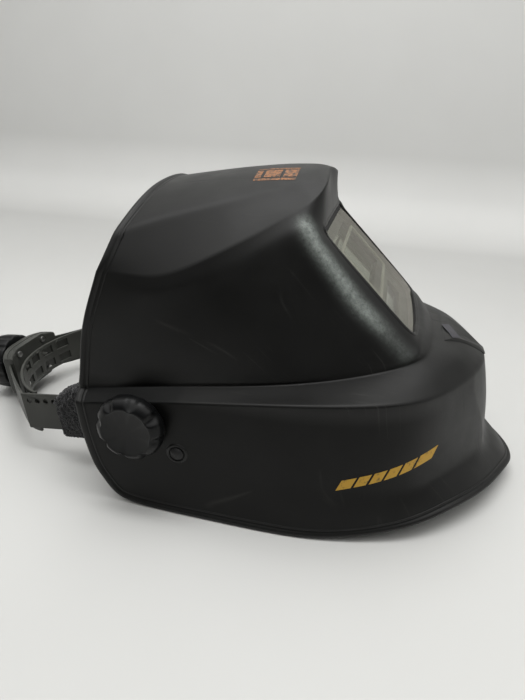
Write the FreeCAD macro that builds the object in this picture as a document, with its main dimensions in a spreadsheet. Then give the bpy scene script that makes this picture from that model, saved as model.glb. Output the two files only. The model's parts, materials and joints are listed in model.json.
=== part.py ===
import FreeCAD, Part
import Sketcher
import math
import os

# Welding helmet, resting on the rim of its jaw: +X forward, +Y the wearer's left, +Z up, millimetres.
# Origin: on the floor, under the middle of the overall length and width.

doc = FreeCAD.newDocument("welding_helmet")
V = FreeCAD.Vector
Rot = FreeCAD.Rotation
Place = FreeCAD.Placement

# ---------------------------------------------------------------- driving dimensions
SIZES = {
    "x_shift": 136.7, "wall": 2.4, "bead_out": 1.6, "bead_wide": 4.0,
    "win_wide": 106.0, "win_high": 85.0, "win_round": 13.0, "win_x": -32.0, "win_z": 152.5,
    "win_lean": 43.6, "bevel_from": 57.5, "bevel_to": 68.0, "bevel_back": 9.0,
    "cart_wide": 110.0, "cart_high": 90.0, "lens_thick": 1.2, "gasket_thick": 1.1,
    "bezel_thick": 2.9, "tray_thick": 7.0, "holder_wide": 120.0, "holder_high": 100.0,
    "view_wide": 96.0, "view_high": 46.0, "view_u": -14.0, "cell_radius": 10.0, "cell_thick": 3.2,
    "pivot_x": -168.0, "pivot_z": 68.0, "boss_radius": 17.0, "boss_face": 119.6, "boss_inner": 115.2,
    "bolt_radius": 4.0, "bolt_hole": 4.06, "knob_radius": 22.5, "knob_thick": 12.6,
    "washer_radius": 15.0, "washer_thick": 1.5, "pin_x": -140.0, "pin_z": 49.0,
    "pin_shank": 2.5, "pin_head": 4.5, "gear_tilt": -6.8, "band_z": -19.0, "band_high": 30.0,
    "band_thick": 1.8, "band_half": 85.0, "rear_x": -170.0, "strap_thick": 1.6,
    "crown_top": 99.0, "crown_wide": 19.0, "ratchet_radius": 25.0, "ratchet_thick": 20.0,
    "house_wide": 46.0, "house_high": 40.0, "house_thick": 13.0, "pad_thick": 6.0,
}
sheet = doc.addObject("Spreadsheet::Sheet", "Sizes")
for row, (alias, value) in enumerate(SIZES.items(), start=1):
    sheet.set("A%d" % row, alias)
    sheet.set("B%d" % row, str(value))
    sheet.setAlias("B%d" % row, alias)
doc.recompute()


def size(alias):
    return float(sheet.get(alias))


SHIFT = Place(V(size("x_shift"), 0, 0), Rot())
WINDOW = SHIFT.multiply(Place(V(size("win_x"), 0, size("win_z")), Rot(V(0, 1, 0), size("win_lean"))))
PIVOT = SHIFT.multiply(Place(V(size("pivot_x"), 0, size("pivot_z")), Rot()))
GEAR = PIVOT.multiply(Place(V(), Rot(V(0, 1, 0), size("gear_tilt"))))
parts = []


# ---------------------------------------------------------------- helpers
def keep(label, shape, place):
    """A finished piece from a shape drawn in the frame of its placement."""
    feature = doc.addObject("Part::Feature", label)
    feature.Label = label
    feature.Shape = shape.Solids[0].removeSplitter() if len(shape.Solids) == 1 else shape
    feature.Placement = place
    parts.append(feature)
    return feature


def body(label, place):
    made = doc.addObject("PartDesign::Body", label)
    made.Label = label
    made.Placement = place
    parts.append(made)
    return made


def sketch(owner, role, lift=0.0, lift_from=None):
    """A sketch on one of the body's own planes, lifted along that plane's normal."""
    plane = [f for f in owner.Origin.OriginFeatures if f.Role == role][0]
    drawn = owner.newObject("Sketcher::SketchObject", owner.Name + "_sketch")
    drawn.AttachmentSupport = [(plane, "")]
    drawn.MapMode = "FlatFace"
    drawn.AttachmentOffset = Place(V(0, 0, lift), Rot())
    if lift_from:
        drawn.setExpression("AttachmentOffset.Base.z", lift_from)
    return drawn


def circle(drawn, radius, x=0.0, y=0.0, bind=None):
    index = drawn.addGeometry(Part.Circle(V(x, y, 0), V(0, 0, 1), radius), False)
    made = drawn.addConstraint(Sketcher.Constraint("Radius", index, radius))
    if bind:
        drawn.setExpression("Constraints[%d]" % made, bind)


def outline(drawn, points):
    last = len(points) - 1
    for i, (x, y) in enumerate(points):
        x2, y2 = points[0 if i == last else i + 1]
        drawn.addGeometry(Part.LineSegment(V(x, y, 0), V(x2, y2, 0)), False)
    for i in range(len(points)):
        drawn.addConstraint(Sketcher.Constraint("Coincident", i, 2, (i + 1) % len(points), 1))


def oblong(drawn, wide, high, x=0.0, y=0.0, bind=None):
    """A rectangle whose two sides may be bound to the sheet."""
    start = drawn.GeometryCount
    a, b = wide / 2, high / 2
    corners = [(x - a, y - b), (x + a, y - b), (x + a, y + b), (x - a, y + b)]
    for i in range(4):
        p, q = corners[i], corners[(i + 1) % 4]
        drawn.addGeometry(Part.LineSegment(V(p[0], p[1], 0), V(q[0], q[1], 0)), False)
    for i in range(4):
        drawn.addConstraint(Sketcher.Constraint("Coincident", start + i, 2, start + (i + 1) % 4, 1))
    for i, kind in enumerate(["Horizontal", "Vertical", "Horizontal", "Vertical"]):
        drawn.addConstraint(Sketcher.Constraint(kind, start + i))
    across = drawn.addConstraint(Sketcher.Constraint("DistanceX", start, 1, start, 2, wide))
    up = drawn.addConstraint(Sketcher.Constraint("DistanceY", start + 1, 1, start + 1, 2, high))
    drawn.addConstraint(Sketcher.Constraint("DistanceX", -1, 1, start, 1, x - a))
    drawn.addConstraint(Sketcher.Constraint("DistanceY", -1, 1, start, 1, y - b))
    if bind:
        drawn.setExpression("Constraints[%d]" % across, bind[0])
        drawn.setExpression("Constraints[%d]" % up, bind[1])
        drawn.setExpression("Constraints[%d]" % (up + 1), "-(%s) / 2 + %s" % (bind[0], x))
        drawn.setExpression("Constraints[%d]" % (up + 2), "-(%s) / 2 + %s" % (bind[1], y))


def pad(owner, drawn, length, bind=None, back=False):
    made = owner.newObject("PartDesign::Pad", owner.Name + "_pad")
    made.Profile = drawn
    made.Length = length
    made.Reversed = back
    if bind:
        made.setExpression("Length", bind)
    drawn.Visibility = False
    return made


def spin(owner, drawn):
    made = owner.newObject("PartDesign::Revolution", owner.Name + "_turned")
    made.Profile = drawn
    made.ReferenceAxis = (drawn, ["V_Axis"])
    made.Angle = 360
    drawn.Visibility = False
    return made


def turned(label, place, points):
    """A turned piece: (radius, height) points about the local Z axis."""
    made = body(label, place)
    drawn = sketch(made, "XZ_Plane")
    outline(drawn, points)
    spin(made, drawn)
    return made


def box(x1, x2, y1, y2, z1, z2):
    return Part.makeBox(x2 - x1, y2 - y1, z2 - z1, V(x1, y1, z1))


def rod(radius, length, at, along):
    return Part.makeCylinder(radius, length, V(*at), V(*along))


def rounded_box(u_size, v_size, n1, n2, radius, u=0.0, v=0.0):
    block = box(u - u_size / 2, u + u_size / 2, v - v_size / 2, v + v_size / 2, n1, n2)
    upright = [e for e in block.Edges if abs(e.Vertexes[0].Z - e.Vertexes[-1].Z) > abs(n2 - n1) * 0.9]
    return block.makeFillet(radius, upright)


def spline(points):
    curve = Part.BSplineCurve()
    curve.interpolate([V(*p) for p in points])
    return curve.toShape()


def push(points, depth):
    """Plan or profile points moved square to their own line, toward its right-hand side."""
    moved = []
    for i, (x, y) in enumerate(points):
        x1, y1 = points[max(i - 1, 0)]
        x2, y2 = points[min(i + 1, len(points) - 1)]
        run = math.hypot(x2 - x1, y2 - y1)
        moved.append((x + depth * (y2 - y1) / run, y - depth * (x2 - x1) / run))
    return moved


def fuse(shapes):
    return shapes[0].multiFuse(shapes[1:]) if len(shapes) > 1 else shapes[0]


# ---------------------------------------------------------------- shell
# Arch stations: x, crown top z, crease A (y, z), brow B (y, z), cheek middle (y, z), belt (y, z).
ARCHES = [
    (-232, 186, (79, 170), (96, 147), (104, 118), (108, 76)),
    (-195, 198, (78, 182), (97, 158), (105, 122), (108, 82)),
    (-142, 211, (57, 196), (90, 165), (101, 132), (106, 91)),
    (-103, 217, (44, 205), (72, 185), (91, 145), (101, 96)),
    (-72, 219, (34, 210), (50, 203), (79, 155), (94, 99)),
    (-35, 217, (30, 206), (42, 196), (71, 140), (84, 103)),
    (12, 208, (24, 196), (32, 184), (56, 135), (64, 106)),
]
# Roof of the jaw: x, deck edge (y, z), belt ridge (y, z).
ROOF = [
    (-240, (108, 77), (117, 72)), (-142, (106, 91), (118, 86)), (-91, (100, 97), (117, 92)),
    (-43, (88, 102), (112, 97)), (-8, (66, 109), (100, 99)), (15, (42, 113), (80, 98)),
    (33, (32, 109), (56, 97)), (52, (22, 98), (34, 95)), (70, (14, 93), (26, 91)), (130, (14, 80), (26, 78)),
]
# Plan of the jaw wall from the rear to the front centre, at four heights.
JAW = [
    (118, [(-240, 115), (-124, 116), (-63, 114), (-6, 97), (19, 73), (34, 48), (44, 22), (47, 0)]),
    (97, [(-240, 116), (-124, 118), (-63, 116), (-6, 100), (19, 76), (37, 50), (50, 23), (54, 0)]),
    (66, [(-240, 117), (-124, 119), (-63, 117), (-4, 102), (24, 78), (44, 52), (58, 25), (62, 0)]),
    (38, [(-240, 117), (-124, 119), (-63, 117), (-2, 103), (29, 78), (50, 53), (63, 27), (68, 0)]),
    (13, [(-240, 118), (-124, 120), (-62, 121), (-2, 109), (33, 89), (61, 61), (82, 28), (90, 0)]),
    (-12, [(-240, 118), (-124, 121), (-62, 124), (0, 114), (40, 96), (74, 68), (98, 31), (106, 0)]),
]
# Side view of the rim: the rear edge from the crown down to the floor, then the lifted chin.
REAR_RIM = [
    (-178, 250), (-187, 200), (-192, 178), (-198, 158), (-204, 137), (-209, 110), (-212, 80),
    (-208, 57), (-201, 36), (-190, 18), (-174, 6), (-150, 1), (-125, 0),
]
CHIN_RIM = [(-10, 0), (10, 1.5), (35, 5), (60, 9), (85, 12.5), (130, 16)]
ARCH_FOOT = 62.0
INNER_DROP = 1.3


def arch_wire(station, inset):
    x, top, crease, brow, cheek, belt = station
    x += inset if station == ARCHES[0] else -inset if station == ARCHES[-1] else 0
    half = push([(0, top), crease, brow, cheek, belt, (belt[0] + 1, ARCH_FOOT + inset)], inset)
    half[0] = (0, top - inset * INNER_DROP)
    (_, t), a, b, c, d, foot = half
    crown = spline([(x, -a[0], a[1]), (x, 0, t), (x, a[0], a[1])])
    left = [
        Part.makeLine(V(x, a[0], a[1]), V(x, b[0], b[1])),
        spline([(x, b[0], b[1]), (x, c[0], c[1]), (x, d[0], d[1])]),
        Part.makeLine(V(x, d[0], d[1]), V(x, foot[0], foot[1])),
    ]
    right = [edge.mirror(V(), V(0, 1, 0)) for edge in left]
    base = Part.makeLine(V(x, foot[0], foot[1]), V(x, -foot[0], foot[1]))
    return Part.Wire(Part.__sortEdges__([crown] + left + [base] + right))


def front_tool(inset):
    """What lies in front of the window wall: a side profile and the two bevels beside the window."""
    lean = math.radians(size("win_lean"))
    down = (math.cos(lean), -math.sin(lean))
    out = (math.sin(lean), math.cos(lean))
    start = (size("win_x") - inset * out[0], size("win_z") - inset * out[1])
    high = (start[0] - 46 * down[0], start[1] - 46 * down[1])
    low = (start[0] + 47 * down[0], start[1] + 47 * down[1])
    profile = [
        (high[0] - 3, 260), (high[0] - 3, 217), high, low,
        (low[0] + 4, 96), (low[0] + 4, 40), (200, 40), (200, 260),
    ]
    face = Part.Face(Part.makePolygon([V(px, -150, pz) for px, pz in profile + profile[:1]]))
    tool = face.extrude(V(0, 300, 0))
    wide = size("bevel_to") - size("bevel_from")
    slope = math.degrees(math.atan2(size("bevel_back"), wide))
    wedge = box(-52, 62, 0, 40, 0, 40)
    wedge.Placement = Place(V(0, size("bevel_from"), -inset), Rot(V(1, 0, 0), -slope))
    seat = Place(V(size("win_x"), 0, size("win_z")), Rot(V(0, 1, 0), size("win_lean")))
    for mirrored in (False, True):
        side = wedge.mirror(V(), V(0, 1, 0)) if mirrored else wedge.copy()
        side = side.copy()
        side.Placement = seat.multiply(side.Placement)
        tool = tool.fuse(side)
    return tool


def roof(inset):
    wires = []
    for x, deck, ridge in ROOF:
        fall = (ridge[1] - deck[1]) / (ridge[0] - deck[0])
        edge = 150
        z_edge = deck[1] + fall * (edge - deck[0]) - inset
        pts = [(edge, -60), (edge, z_edge), (deck[0], deck[1] - inset)]
        pts = pts + [(-y, z) for y, z in reversed(pts)]
        wires.append(Part.makePolygon([V(x, y, z) for y, z in pts + pts[:1]]))
    return Part.makeLoft(wires, True, True)


def jaw(inset):
    wires = []
    for level, plan in JAW:
        z = level + (inset if level == JAW[-1][0] else -inset if level == JAW[0][0] else 0)
        half = push(plan, inset)
        half[-1] = (plan[-1][0] - inset, 0)
        whole = half + [(x, -y) for x, y in reversed(half[:-1])]
        front = spline([(x, y, z) for x, y in whole])
        back = Part.makeLine(V(whole[-1][0], whole[-1][1], z), V(whole[0][0], whole[0][1], z))
        wires.append(Part.Wire([front, back]))
    return Part.makeLoft(wires, True, False)


def mass(inset):
    arch = Part.makeLoft([arch_wire(station, inset) for station in ARCHES], True, False)
    return arch.cut(front_tool(inset)).fuse(jaw(inset).common(roof(inset)))


def rim_prism(trim):
    """The region the shell keeps in side view, drawn in by trim."""
    rear_line, chin_line = push(REAR_RIM, -trim), push(CHIN_RIM, -trim)
    rear = spline([(x, 0, z) for x, z in rear_line])
    chin = spline([(x, 0, z) for x, z in chin_line])
    corner = (150, 250)
    ends = [(rear_line[-1], chin_line[0]), (chin_line[-1], corner), (corner, rear_line[0])]
    under, ahead, above = [Part.makeLine(V(p[0], 0, p[1]), V(q[0], 0, q[1])) for p, q in ends]
    face = Part.Face(Part.Wire([rear, under, chin, ahead, above]))
    prism = face.extrude(V(0, 320, 0))
    prism.translate(V(0, -160, 0))
    return prism


def make_shell():
    outer, inner = mass(0), mass(size("wall"))
    bead = mass(-size("bead_out")).cut(rim_prism(size("bead_wide")))
    whole = outer.fuse(bead).common(rim_prism(0)).cut(inner)
    seat = Place(V(size("win_x"), 0, size("win_z")), Rot(V(0, 1, 0), size("win_lean")))
    opening = rounded_box(size("win_high"), size("win_wide"), -12, 12, size("win_round"))
    opening.Placement = seat
    whole = whole.cut(opening)
    px, pz = size("pivot_x"), size("pivot_z")
    thick = size("boss_face") - size("boss_inner")
    for side in (-1, 1):
        along = (0, side, 0)
        whole = whole.fuse(rod(size("boss_radius"), thick, (px, side * size("boss_inner"), pz), along))
        spot_face = rod(size("boss_radius"), 10, (px, side * (size("boss_inner") - 10), pz), along)
        whole = whole.cut(spot_face).cut(rod(size("bolt_hole"), 60, (px, side * 90, pz), along))
    x, z = size("pin_x"), size("pin_z")
    whole = whole.fuse(rod(7.5, 4.4, (x, -115.0, z), (0, -1, 0)))
    whole = whole.cut(rod(5.4, 5, (x, -118.4, z), (0, -1, 0)))
    whole = whole.cut(rod(size("pin_shank") + 0.03, 40, (x, -100, z), (0, -1, 0)))
    for v in (-36, 36):
        post = rod(4.5, 16, (-56, v, -12.4), (0, 0, 1))
        post.Placement = seat.multiply(post.Placement)
        whole = whole.fuse(post.common(outer))
        hole = rod(1.3, 9, (-56, v, -12.5), (0, 0, 1))
        hole.Placement = seat.multiply(hole.Placement)
        whole = whole.cut(hole)
    return whole


keep("shell", make_shell(), SHIFT)


# ---------------------------------------------------------------- viewing window and filter cartridge
# Window frame: local x down the slope of the window, y to the wearer's left, z square out of it.
def plate(label, high, wide, low, thick, u=0.0, bind=None, thick_bind=None):
    made = body(label, WINDOW)
    drawn = sketch(made, "XY_Plane", low)
    oblong(drawn, high, wide, u, 0.0, bind)
    pad(made, drawn, thick, thick_bind)
    return made


cart = (size("cart_high"), size("cart_wide"))
view_u = size("view_u")
LOWER_ROW = 28.0
plate("cover_lens", cart[0] + 2, cart[1] + 2, -3.8, size("lens_thick"),
      bind=("Sizes.cart_high + 2", "Sizes.cart_wide + 2"), thick_bind="Sizes.lens_thick")
gasket = body("lens_gasket", WINDOW)
ring = sketch(gasket, "XY_Plane", -5.0)
oblong(ring, cart[0] + 2, cart[1] + 2, bind=("Sizes.cart_high + 2", "Sizes.cart_wide + 2"))
oblong(ring, cart[0] - 8, cart[1] - 8, bind=("Sizes.cart_high - 8", "Sizes.cart_wide - 8"))
pad(gasket, ring, size("gasket_thick"), "Sizes.gasket_thick")

bezel = body("cartridge_bezel", WINDOW)
face = sketch(bezel, "XY_Plane", -8.0)
oblong(face, cart[0], cart[1], bind=("Sizes.cart_high", "Sizes.cart_wide"))
oblong(face, size("view_high") - 4, size("view_wide") - 4, view_u)
oblong(face, 14, 58, LOWER_ROW)
for v in (-42, 42):
    circle(face, 3.5, LOWER_ROW, v)
pad(bezel, face, size("bezel_thick"), "Sizes.bezel_thick")

plate("filter_glass", size("view_high"), size("view_wide"), -11.0, 2.9, view_u)
plate("solar_cell", 18, 64, -9.2, 1.1, LOWER_ROW)
plate("circuit_board", 26, 104, -10.6, 1.2, LOWER_ROW)
for name, v in (("arc_sensor_right", -42), ("arc_sensor_left", 42)):
    place = WINDOW.multiply(Place(V(LOWER_ROW, v, -8.0), Rot()))
    turned(name, place, [(0, 0), (3.4, 0), (3.4, 1.6), (2.4, 2.4), (0, 2.6)])

# Controls on the wearer's side of the tray: name, across, head radius.
CONTROLS = [("shade_knob", -13, 8.0), ("sensitivity_knob", 7, 7.0), ("delay_knob", 25, 7.0)]
BATTERY_V, BUTTON_V = -38, 42
tray = rounded_box(cart[0], cart[1], -15.0, -8.0, 4.0)
tray = tray.cut(rounded_box(cart[0] - 4, cart[1] - 4, -13.4, -7.9, 3.0))
tray = tray.cut(rounded_box(size("view_high") - 4, size("view_wide") - 4, -16, -13, 3.0, view_u))
tray = tray.cut(rod(11.5, 3, (LOWER_ROW, BATTERY_V, -16), (0, 0, 1)))
tray = tray.cut(rod(4.06, 3, (LOWER_ROW, BUTTON_V, -16), (0, 0, 1)))
for name, v, radius in CONTROLS:
    tray = tray.cut(rod(2.56, 3, (LOWER_ROW, v, -16), (0, 0, 1)))
keep("cartridge_tray", tray, WINDOW)
plate("inner_lens", 50, 104, -16.1, 1.0, view_u)


def at_row(v, n):
    """A place on the row of controls below the view: v to the wearer's left, n out of the window."""
    return WINDOW.multiply(Place(V(LOWER_ROW, v, n), Rot()))


battery = body("battery", at_row(BATTERY_V, -13.9))
disc = sketch(battery, "XY_Plane")
circle(disc, size("cell_radius"), bind="Sizes.cell_radius")
pad(battery, disc, size("cell_thick"), "Sizes.cell_thick")
cap = rod(11.42, 2.2, (0, 0, 0), (0, 0, 1)).cut(box(-8, 8, -1, 1, -1, 0.9))
keep("battery_cap", cap, at_row(BATTERY_V, -16.2))
for name, v, radius in CONTROLS:
    knob = rod(radius, 4.2, (0, 0, -5.0), (0, 0, 1)).fuse(rod(2.5, 4.4, (0, 0, -0.9), (0, 0, 1)))
    grips = 12
    for i in range(grips):
        turn = 2 * math.pi * i / grips
        at = (radius * math.cos(turn), radius * math.sin(turn), -6)
        knob = knob.cut(rod(0.9, 4, at, (0, 0, 1)))
    knob = knob.cut(box(2, radius + 1, -0.5, 0.5, -6, -4.4))
    keep(name, knob, at_row(v, -15.0))
turned("test_button", at_row(BUTTON_V, -15.0),
       [(0, -2.5), (3.4, -2.5), (4, -1.9), (4, 1.8), (5.2, 1.8), (5.2, 2.5), (0, 2.5)])

HINGE_U, HINGE_N = 46.0, -18.0
holder = rounded_box(size("holder_high"), size("holder_wide"), -16, -7, 6.0)
holder = holder.cut(rounded_box(cart[0] + 0.6, cart[1] + 0.6, -17, -6, 0.5))
for v in (-36, 36):
    holder = holder.fuse(box(-62, -46, v - 6, v + 6, -15.5, -12.6))
    holder = holder.cut(rod(1.6, 9, (-56, v, -18), (0, 0, 1)))
for side in (-1, 1):
    y1, y2 = sorted((side * 56.9, side * 59.9))
    holder = holder.fuse(box(HINGE_U - 4, HINGE_U + 4, y1, y2, -21, -15))
    holder = holder.cut(rod(1.56, 12, (HINGE_U, side * 52, HINGE_N), (0, side, 0)))
keep("cartridge_holder", holder, WINDOW)
screws = []
for v in (-36, 36):
    shank = rod(1.25, 11, (-56, v, -15.7), (0, 0, 1))
    head = rod(3.2, 2.3, (-56, v, -17.9), (0, 0, 1))
    screws.append(shank.fuse(head).cut(box(-58.4, -53.6, v - 0.4, v + 0.4, -18, -17)))
keep("holder_screws", Part.makeCompound(screws), WINDOW)
wire = [rod(1.5, 106, (-41, -53, HINGE_N), (0, 1, 0))]
for side in (-1, 1):
    wire.append(rod(1.5, HINGE_U + 41, (-41, side * 53, HINGE_N), (1, 0, 0)))
    wire.append(rod(1.5, 7.6, (HINGE_U, side * 53, HINGE_N), (0, side, 0)))
    for u in (-41, HINGE_U):
        wire.append(Part.makeSphere(1.5, V(u, side * 53, HINGE_N)))
keep("cartridge_bail", fuse(wire), WINDOW)


# ---------------------------------------------------------------- pivots
def lobed(radius, lobes, low, high, bore, bore_high, crown):
    """A hand knob about local Y: scalloped rim, chamfered outer face, blind bore."""
    blank = rod(radius, high - low, (0, low, 0), (0, 1, 0))
    rim = [e for e in blank.Edges if len(e.Vertexes) == 1 and abs(e.Vertexes[0].Y - high) < 0.01]
    blank = blank.makeChamfer(crown, rim)
    for i in range(lobes):
        turn = 2 * math.pi * (i + 0.5) / lobes
        reach = radius + 7.4
        at = (reach * math.cos(turn), low - 1, reach * math.sin(turn))
        blank = blank.cut(rod(10.0, high - low + 2, at, (0, 1, 0)))
    return blank.cut(rod(bore, bore_high - low + 1, (0, low - 1, 0), (0, 1, 0)))


def sides(name, shape, place):
    """The same piece on the wearer's left and, mirrored, on the right."""
    keep(name + "_left", shape, place)
    keep(name + "_right", shape.mirror(V(), V(0, 1, 0)), place)


def ring_y(outer, inner, low, high):
    return rod(outer, high - low, (0, low, 0), (0, 1, 0)).cut(rod(inner, 60, (0, low - 5, 0), (0, 1, 0)))


bore = size("bolt_hole")
washer_low = size("boss_face") + 0.15
washer_high = washer_low + size("washer_thick")
knob_low = washer_high + 0.15
knob_high = knob_low + size("knob_thick")
sides("tension_washer", ring_y(size("washer_radius"), bore, washer_low, washer_high), PIVOT)
sides("side_knob", lobed(size("knob_radius"), 8, knob_low, knob_high, bore, knob_high - 2.6, 2.2), PIVOT)
sides("friction_washer", ring_y(14, bore, 113.6, 115.1), PIVOT)
head = rod(9, 2.5, (0, 93.4, 0), (0, 1, 0))
inner_rim = [e for e in head.Edges if len(e.Vertexes) == 1 and e.Vertexes[0].Y < 94]
shank = rod(size("bolt_radius"), knob_high - 3 - 95.8, (0, 95.8, 0), (0, 1, 0))
sides("pivot_bolt", shank.fuse(head.makeFillet(1.2, inner_rim)), GEAR)

BAND_OUT = size("band_half")
ARM_LINE = [(12, 99), (-14, 99), (-22, 97.2), (-32, 91), (-40, 88.3), (-66, 88.3)]


def plan_strip(line, thick, low, high):
    """A flat strip standing on edge, following a plan line on its outer face."""
    inner = push(line, -thick)
    points = [V(x, y, low) for x, y in line + inner[::-1]]
    return Part.Face(Part.makePolygon(points + points[:1])).extrude(V(0, 0, high - low))


def smooth_strip(line, thick, low, high, depth=0.0):
    outer_line = push(line, depth) if depth else line
    inner_line = push(line, depth + thick)
    edges = [spline([(x, y, low) for x, y in outer_line]), spline([(x, y, low) for x, y in inner_line])]
    ends = [Part.makeLine(V(*outer_line[i], low), V(*inner_line[i], low)) for i in (0, -1)]
    return Part.Face(Part.Wire(Part.__sortEdges__(edges + ends))).extrude(V(0, 0, high - low))


band_low = size("band_z") - size("band_high") / 2
band_top = size("band_z") + size("band_high") / 2
arm = plan_strip(ARM_LINE, 3.0, -12, 12)
arm = arm.cut(box(-80, -30, 80, 100, 4, 20)).fuse(box(-66, -38, 85.3, 88.3, band_low + 2, -11))
arm = arm.fuse(rod(13, 16.2, (0, 97.3, 0), (0, 1, 0))).cut(rod(bore, 40, (0, 90, 0), (0, 1, 0)))
RIVET_X = (-60, -45)
for x in RIVET_X:
    arm = arm.cut(rod(2.05, 20, (x, 80, size("band_z")), (0, 1, 0)))
sides("pivot_arm", arm, GEAR)

reach = math.hypot(size("pin_x") - size("pivot_x"), size("pin_z") - size("pivot_z"))
pin_angle = math.degrees(math.atan2(size("pin_z") - size("pivot_z"), size("pin_x") - size("pivot_x")))
pin_angle += size("gear_tilt")
TILT_DOWN, TILT_UP = -42.0, 36.0
stop = ring_y(42, 13.1, 99.2, 102.2)
slot = ring_y(reach + 2.62, reach - 2.62, 98, 104)
first, last = pin_angle + TILT_DOWN - 0.4, pin_angle + TILT_UP + 0.4


def sector(a1, a2, radius):
    pts = [V(0, 98, 0)]
    steps = 12
    for i in range(steps + 1):
        a = math.radians(a1 + (a2 - a1) * i / steps)
        pts.append(V(radius * math.cos(a), 98, radius * math.sin(a)))
    return Part.Face(Part.makePolygon(pts + pts[:1])).extrude(V(0, 7, 0))


hub_ring = ring_y(20, 13.1, 99.2, 102.2)
stop = stop.common(sector(first - 14, last + 14, 60)).fuse(hub_ring)
stop = stop.cut(slot.common(sector(first, last, 60)))
for a in (first, last):
    turn = math.radians(a)
    stop = stop.cut(rod(2.62, 10, (reach * math.cos(turn), 97, reach * math.sin(turn)), (0, 1, 0)))
keep("tilt_stop_plate", stop.mirror(V(), V(0, 1, 0)), GEAR)
pin_place = SHIFT.multiply(Place(V(size("pin_x"), 0, size("pin_z")), Rot()))
pin = rod(size("pin_shank"), 20.2, (0, 98.6, 0), (0, 1, 0))
dome = Part.makeSphere(6.2, V(0, 116.1, 0)).common(rod(size("pin_head"), 6, (0, 118.55, 0), (0, 1, 0)))
keep("stop_pin", pin.fuse(dome).mirror(V(), V(0, 1, 0)), pin_place)

# ---------------------------------------------------------------- headgear
# Gear frame: local origin on the pivot axis, x along the headband, so the whole of it tilts together.
BROW = [(-38, BAND_OUT), (-8, 84.3), (12, 79.5), (29, 65), (42, 38), (47, 0)]
LEG_END = -112.0


def two_sided(line):
    return line + [(x, -y) for x, y in line[-2::-1]]


front = smooth_strip(two_sided(BROW), size("band_thick"), band_low, band_top)
leg = box(LEG_END, -38, BAND_OUT - size("band_thick"), BAND_OUT, band_low, band_top)
headband = front.fuse(leg).fuse(leg.mirror(V(), V(0, 1, 0)))
for side in (-1, 1):
    for i in range(5):
        at = (-106 + 7 * i, side * 78, size("band_z") + 9)
        headband = headband.cut(rod(2.0, 12, at, (0, side, 0)))
    for x in RIVET_X:
        headband = headband.cut(rod(2.05, 12, (x, side * 78, size("band_z")), (0, side, 0)))
    headband = headband.cut(rod(2.05, 12, (-16, side * 78, size("band_z")), (0, side, 0)))
keep("headband", headband, GEAR)

rivets = []
for side in (-1, 1):
    for x in RIVET_X:
        body_rod = rod(2.0, 6.1, (x, side * 82.9, size("band_z")), (0, side, 0))
        head = rod(3.6, 1.0, (x, side * 88.4, size("band_z")), (0, side, 0))
        rivets.append(body_rod.fuse(head))
keep("arm_rivets", Part.makeCompound(rivets), GEAR)

STRAP_FACE = BAND_OUT - size("band_thick") - 0.3
rear_x = size("rear_x")
STRAP = [(-104, STRAP_FACE), (-114, 79.5), (-128, 68.5), (-146, 51), (-158, 38.5)]
STRAP_TAIL = [(2.6, 29), (0, 22)]
RACK_END, HALF_SLOT, TEETH = -20.0, 6.8, 9
centre = size("band_z")
house_low = centre - size("house_high") / 2
house_top = centre + size("house_high") / 2


def rear_strap(level, toothed):
    """A rear strap: straight tongue beside the headband, round the back, toothed slot in the housing."""
    low, high = centre - 11, centre + 11
    thick = size("strap_thick")
    x = rear_x + level
    line = STRAP + [(x + dx, y) for dx, y in STRAP_TAIL]
    wide = box(-240, -90, half_wide + 1.5, 100, centre - 20, centre + 20)
    broad = smooth_strip(line, -thick, centre - 19, centre + 11).common(wide)
    curve = smooth_strip(line, -thick, low, high).fuse(broad)
    tongue = box(-104.2, -58, STRAP_FACE - thick, STRAP_FACE, low, high)
    tail = box(x, x + thick, RACK_END, 22.2, low, high)
    strap = fuse([curve, tongue, tail])
    strap = strap.cut(box(x - 5, x + 5, RACK_END + 4, 18, centre - HALF_SLOT, centre + HALF_SLOT))
    root, tip = centre + toothed * (HALF_SLOT + 0.2), centre + toothed * (HALF_SLOT - 1.2)
    for i in range(TEETH):
        y = RACK_END + 6.4 + i * 3.4
        tooth = [V(x, y - 1.2, root), V(x, y + 1.2, root), V(x, y, tip)]
        strap = strap.fuse(Part.Face(Part.makePolygon(tooth + tooth[:1])).extrude(V(thick, 0, 0)))
    return strap


half_wide = size("house_wide") / 2
keep("rear_strap_left", rear_strap(0.0, 1), GEAR)
keep("rear_strap_right", rear_strap(2.0, -1).mirror(V(), V(0, 1, 0)), GEAR)

house_back = rear_x - 8.0
housing = box(house_back, rear_x + 4.1, -half_wide, half_wide, house_low, house_top)
upright = [e for e in housing.Edges if abs(e.Vertexes[0].X - e.Vertexes[-1].X) > 5]
housing = housing.makeFillet(6.0, upright)
housing = housing.cut(box(rear_x - 0.3, rear_x + 5, -40, 40, centre - 11.4, centre + 11.4))
housing = housing.cut(rod(7.0, 20, (house_back + 2, 0, centre), (1, 0, 0)))
housing = housing.cut(rod(3.06, 20, (house_back - 1, 0, centre), (1, 0, 0)))
cover = box(rear_x + 4.3, rear_x + 7.0, -half_wide, half_wide, house_low, house_top)
upright = [e for e in cover.Edges if abs(e.Vertexes[0].X - e.Vertexes[-1].X) > 2]
cover = cover.makeFillet(6.0, upright)
CASE_SCREWS = [(y, z) for y in (-17, 17) for z in (-15, 15)]
screws = []
for y, z in CASE_SCREWS:
    hole = rod(1.5, 9, (rear_x - 4, y, centre + z), (1, 0, 0))
    housing = housing.cut(hole)
    cover = cover.cut(rod(1.5, 9, (rear_x, y, centre + z), (1, 0, 0)))
    shank = rod(1.45, 10.3, (rear_x - 3, y, centre + z), (1, 0, 0))
    screws.append(shank.fuse(rod(2.6, 1.4, (rear_x + 7.1, y, centre + z), (1, 0, 0))))
for y in (-14, 14):
    cover = cover.fuse(rod(3.0, 5.6, (rear_x + 6.9, y, centre), (1, 0, 0)))
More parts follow.
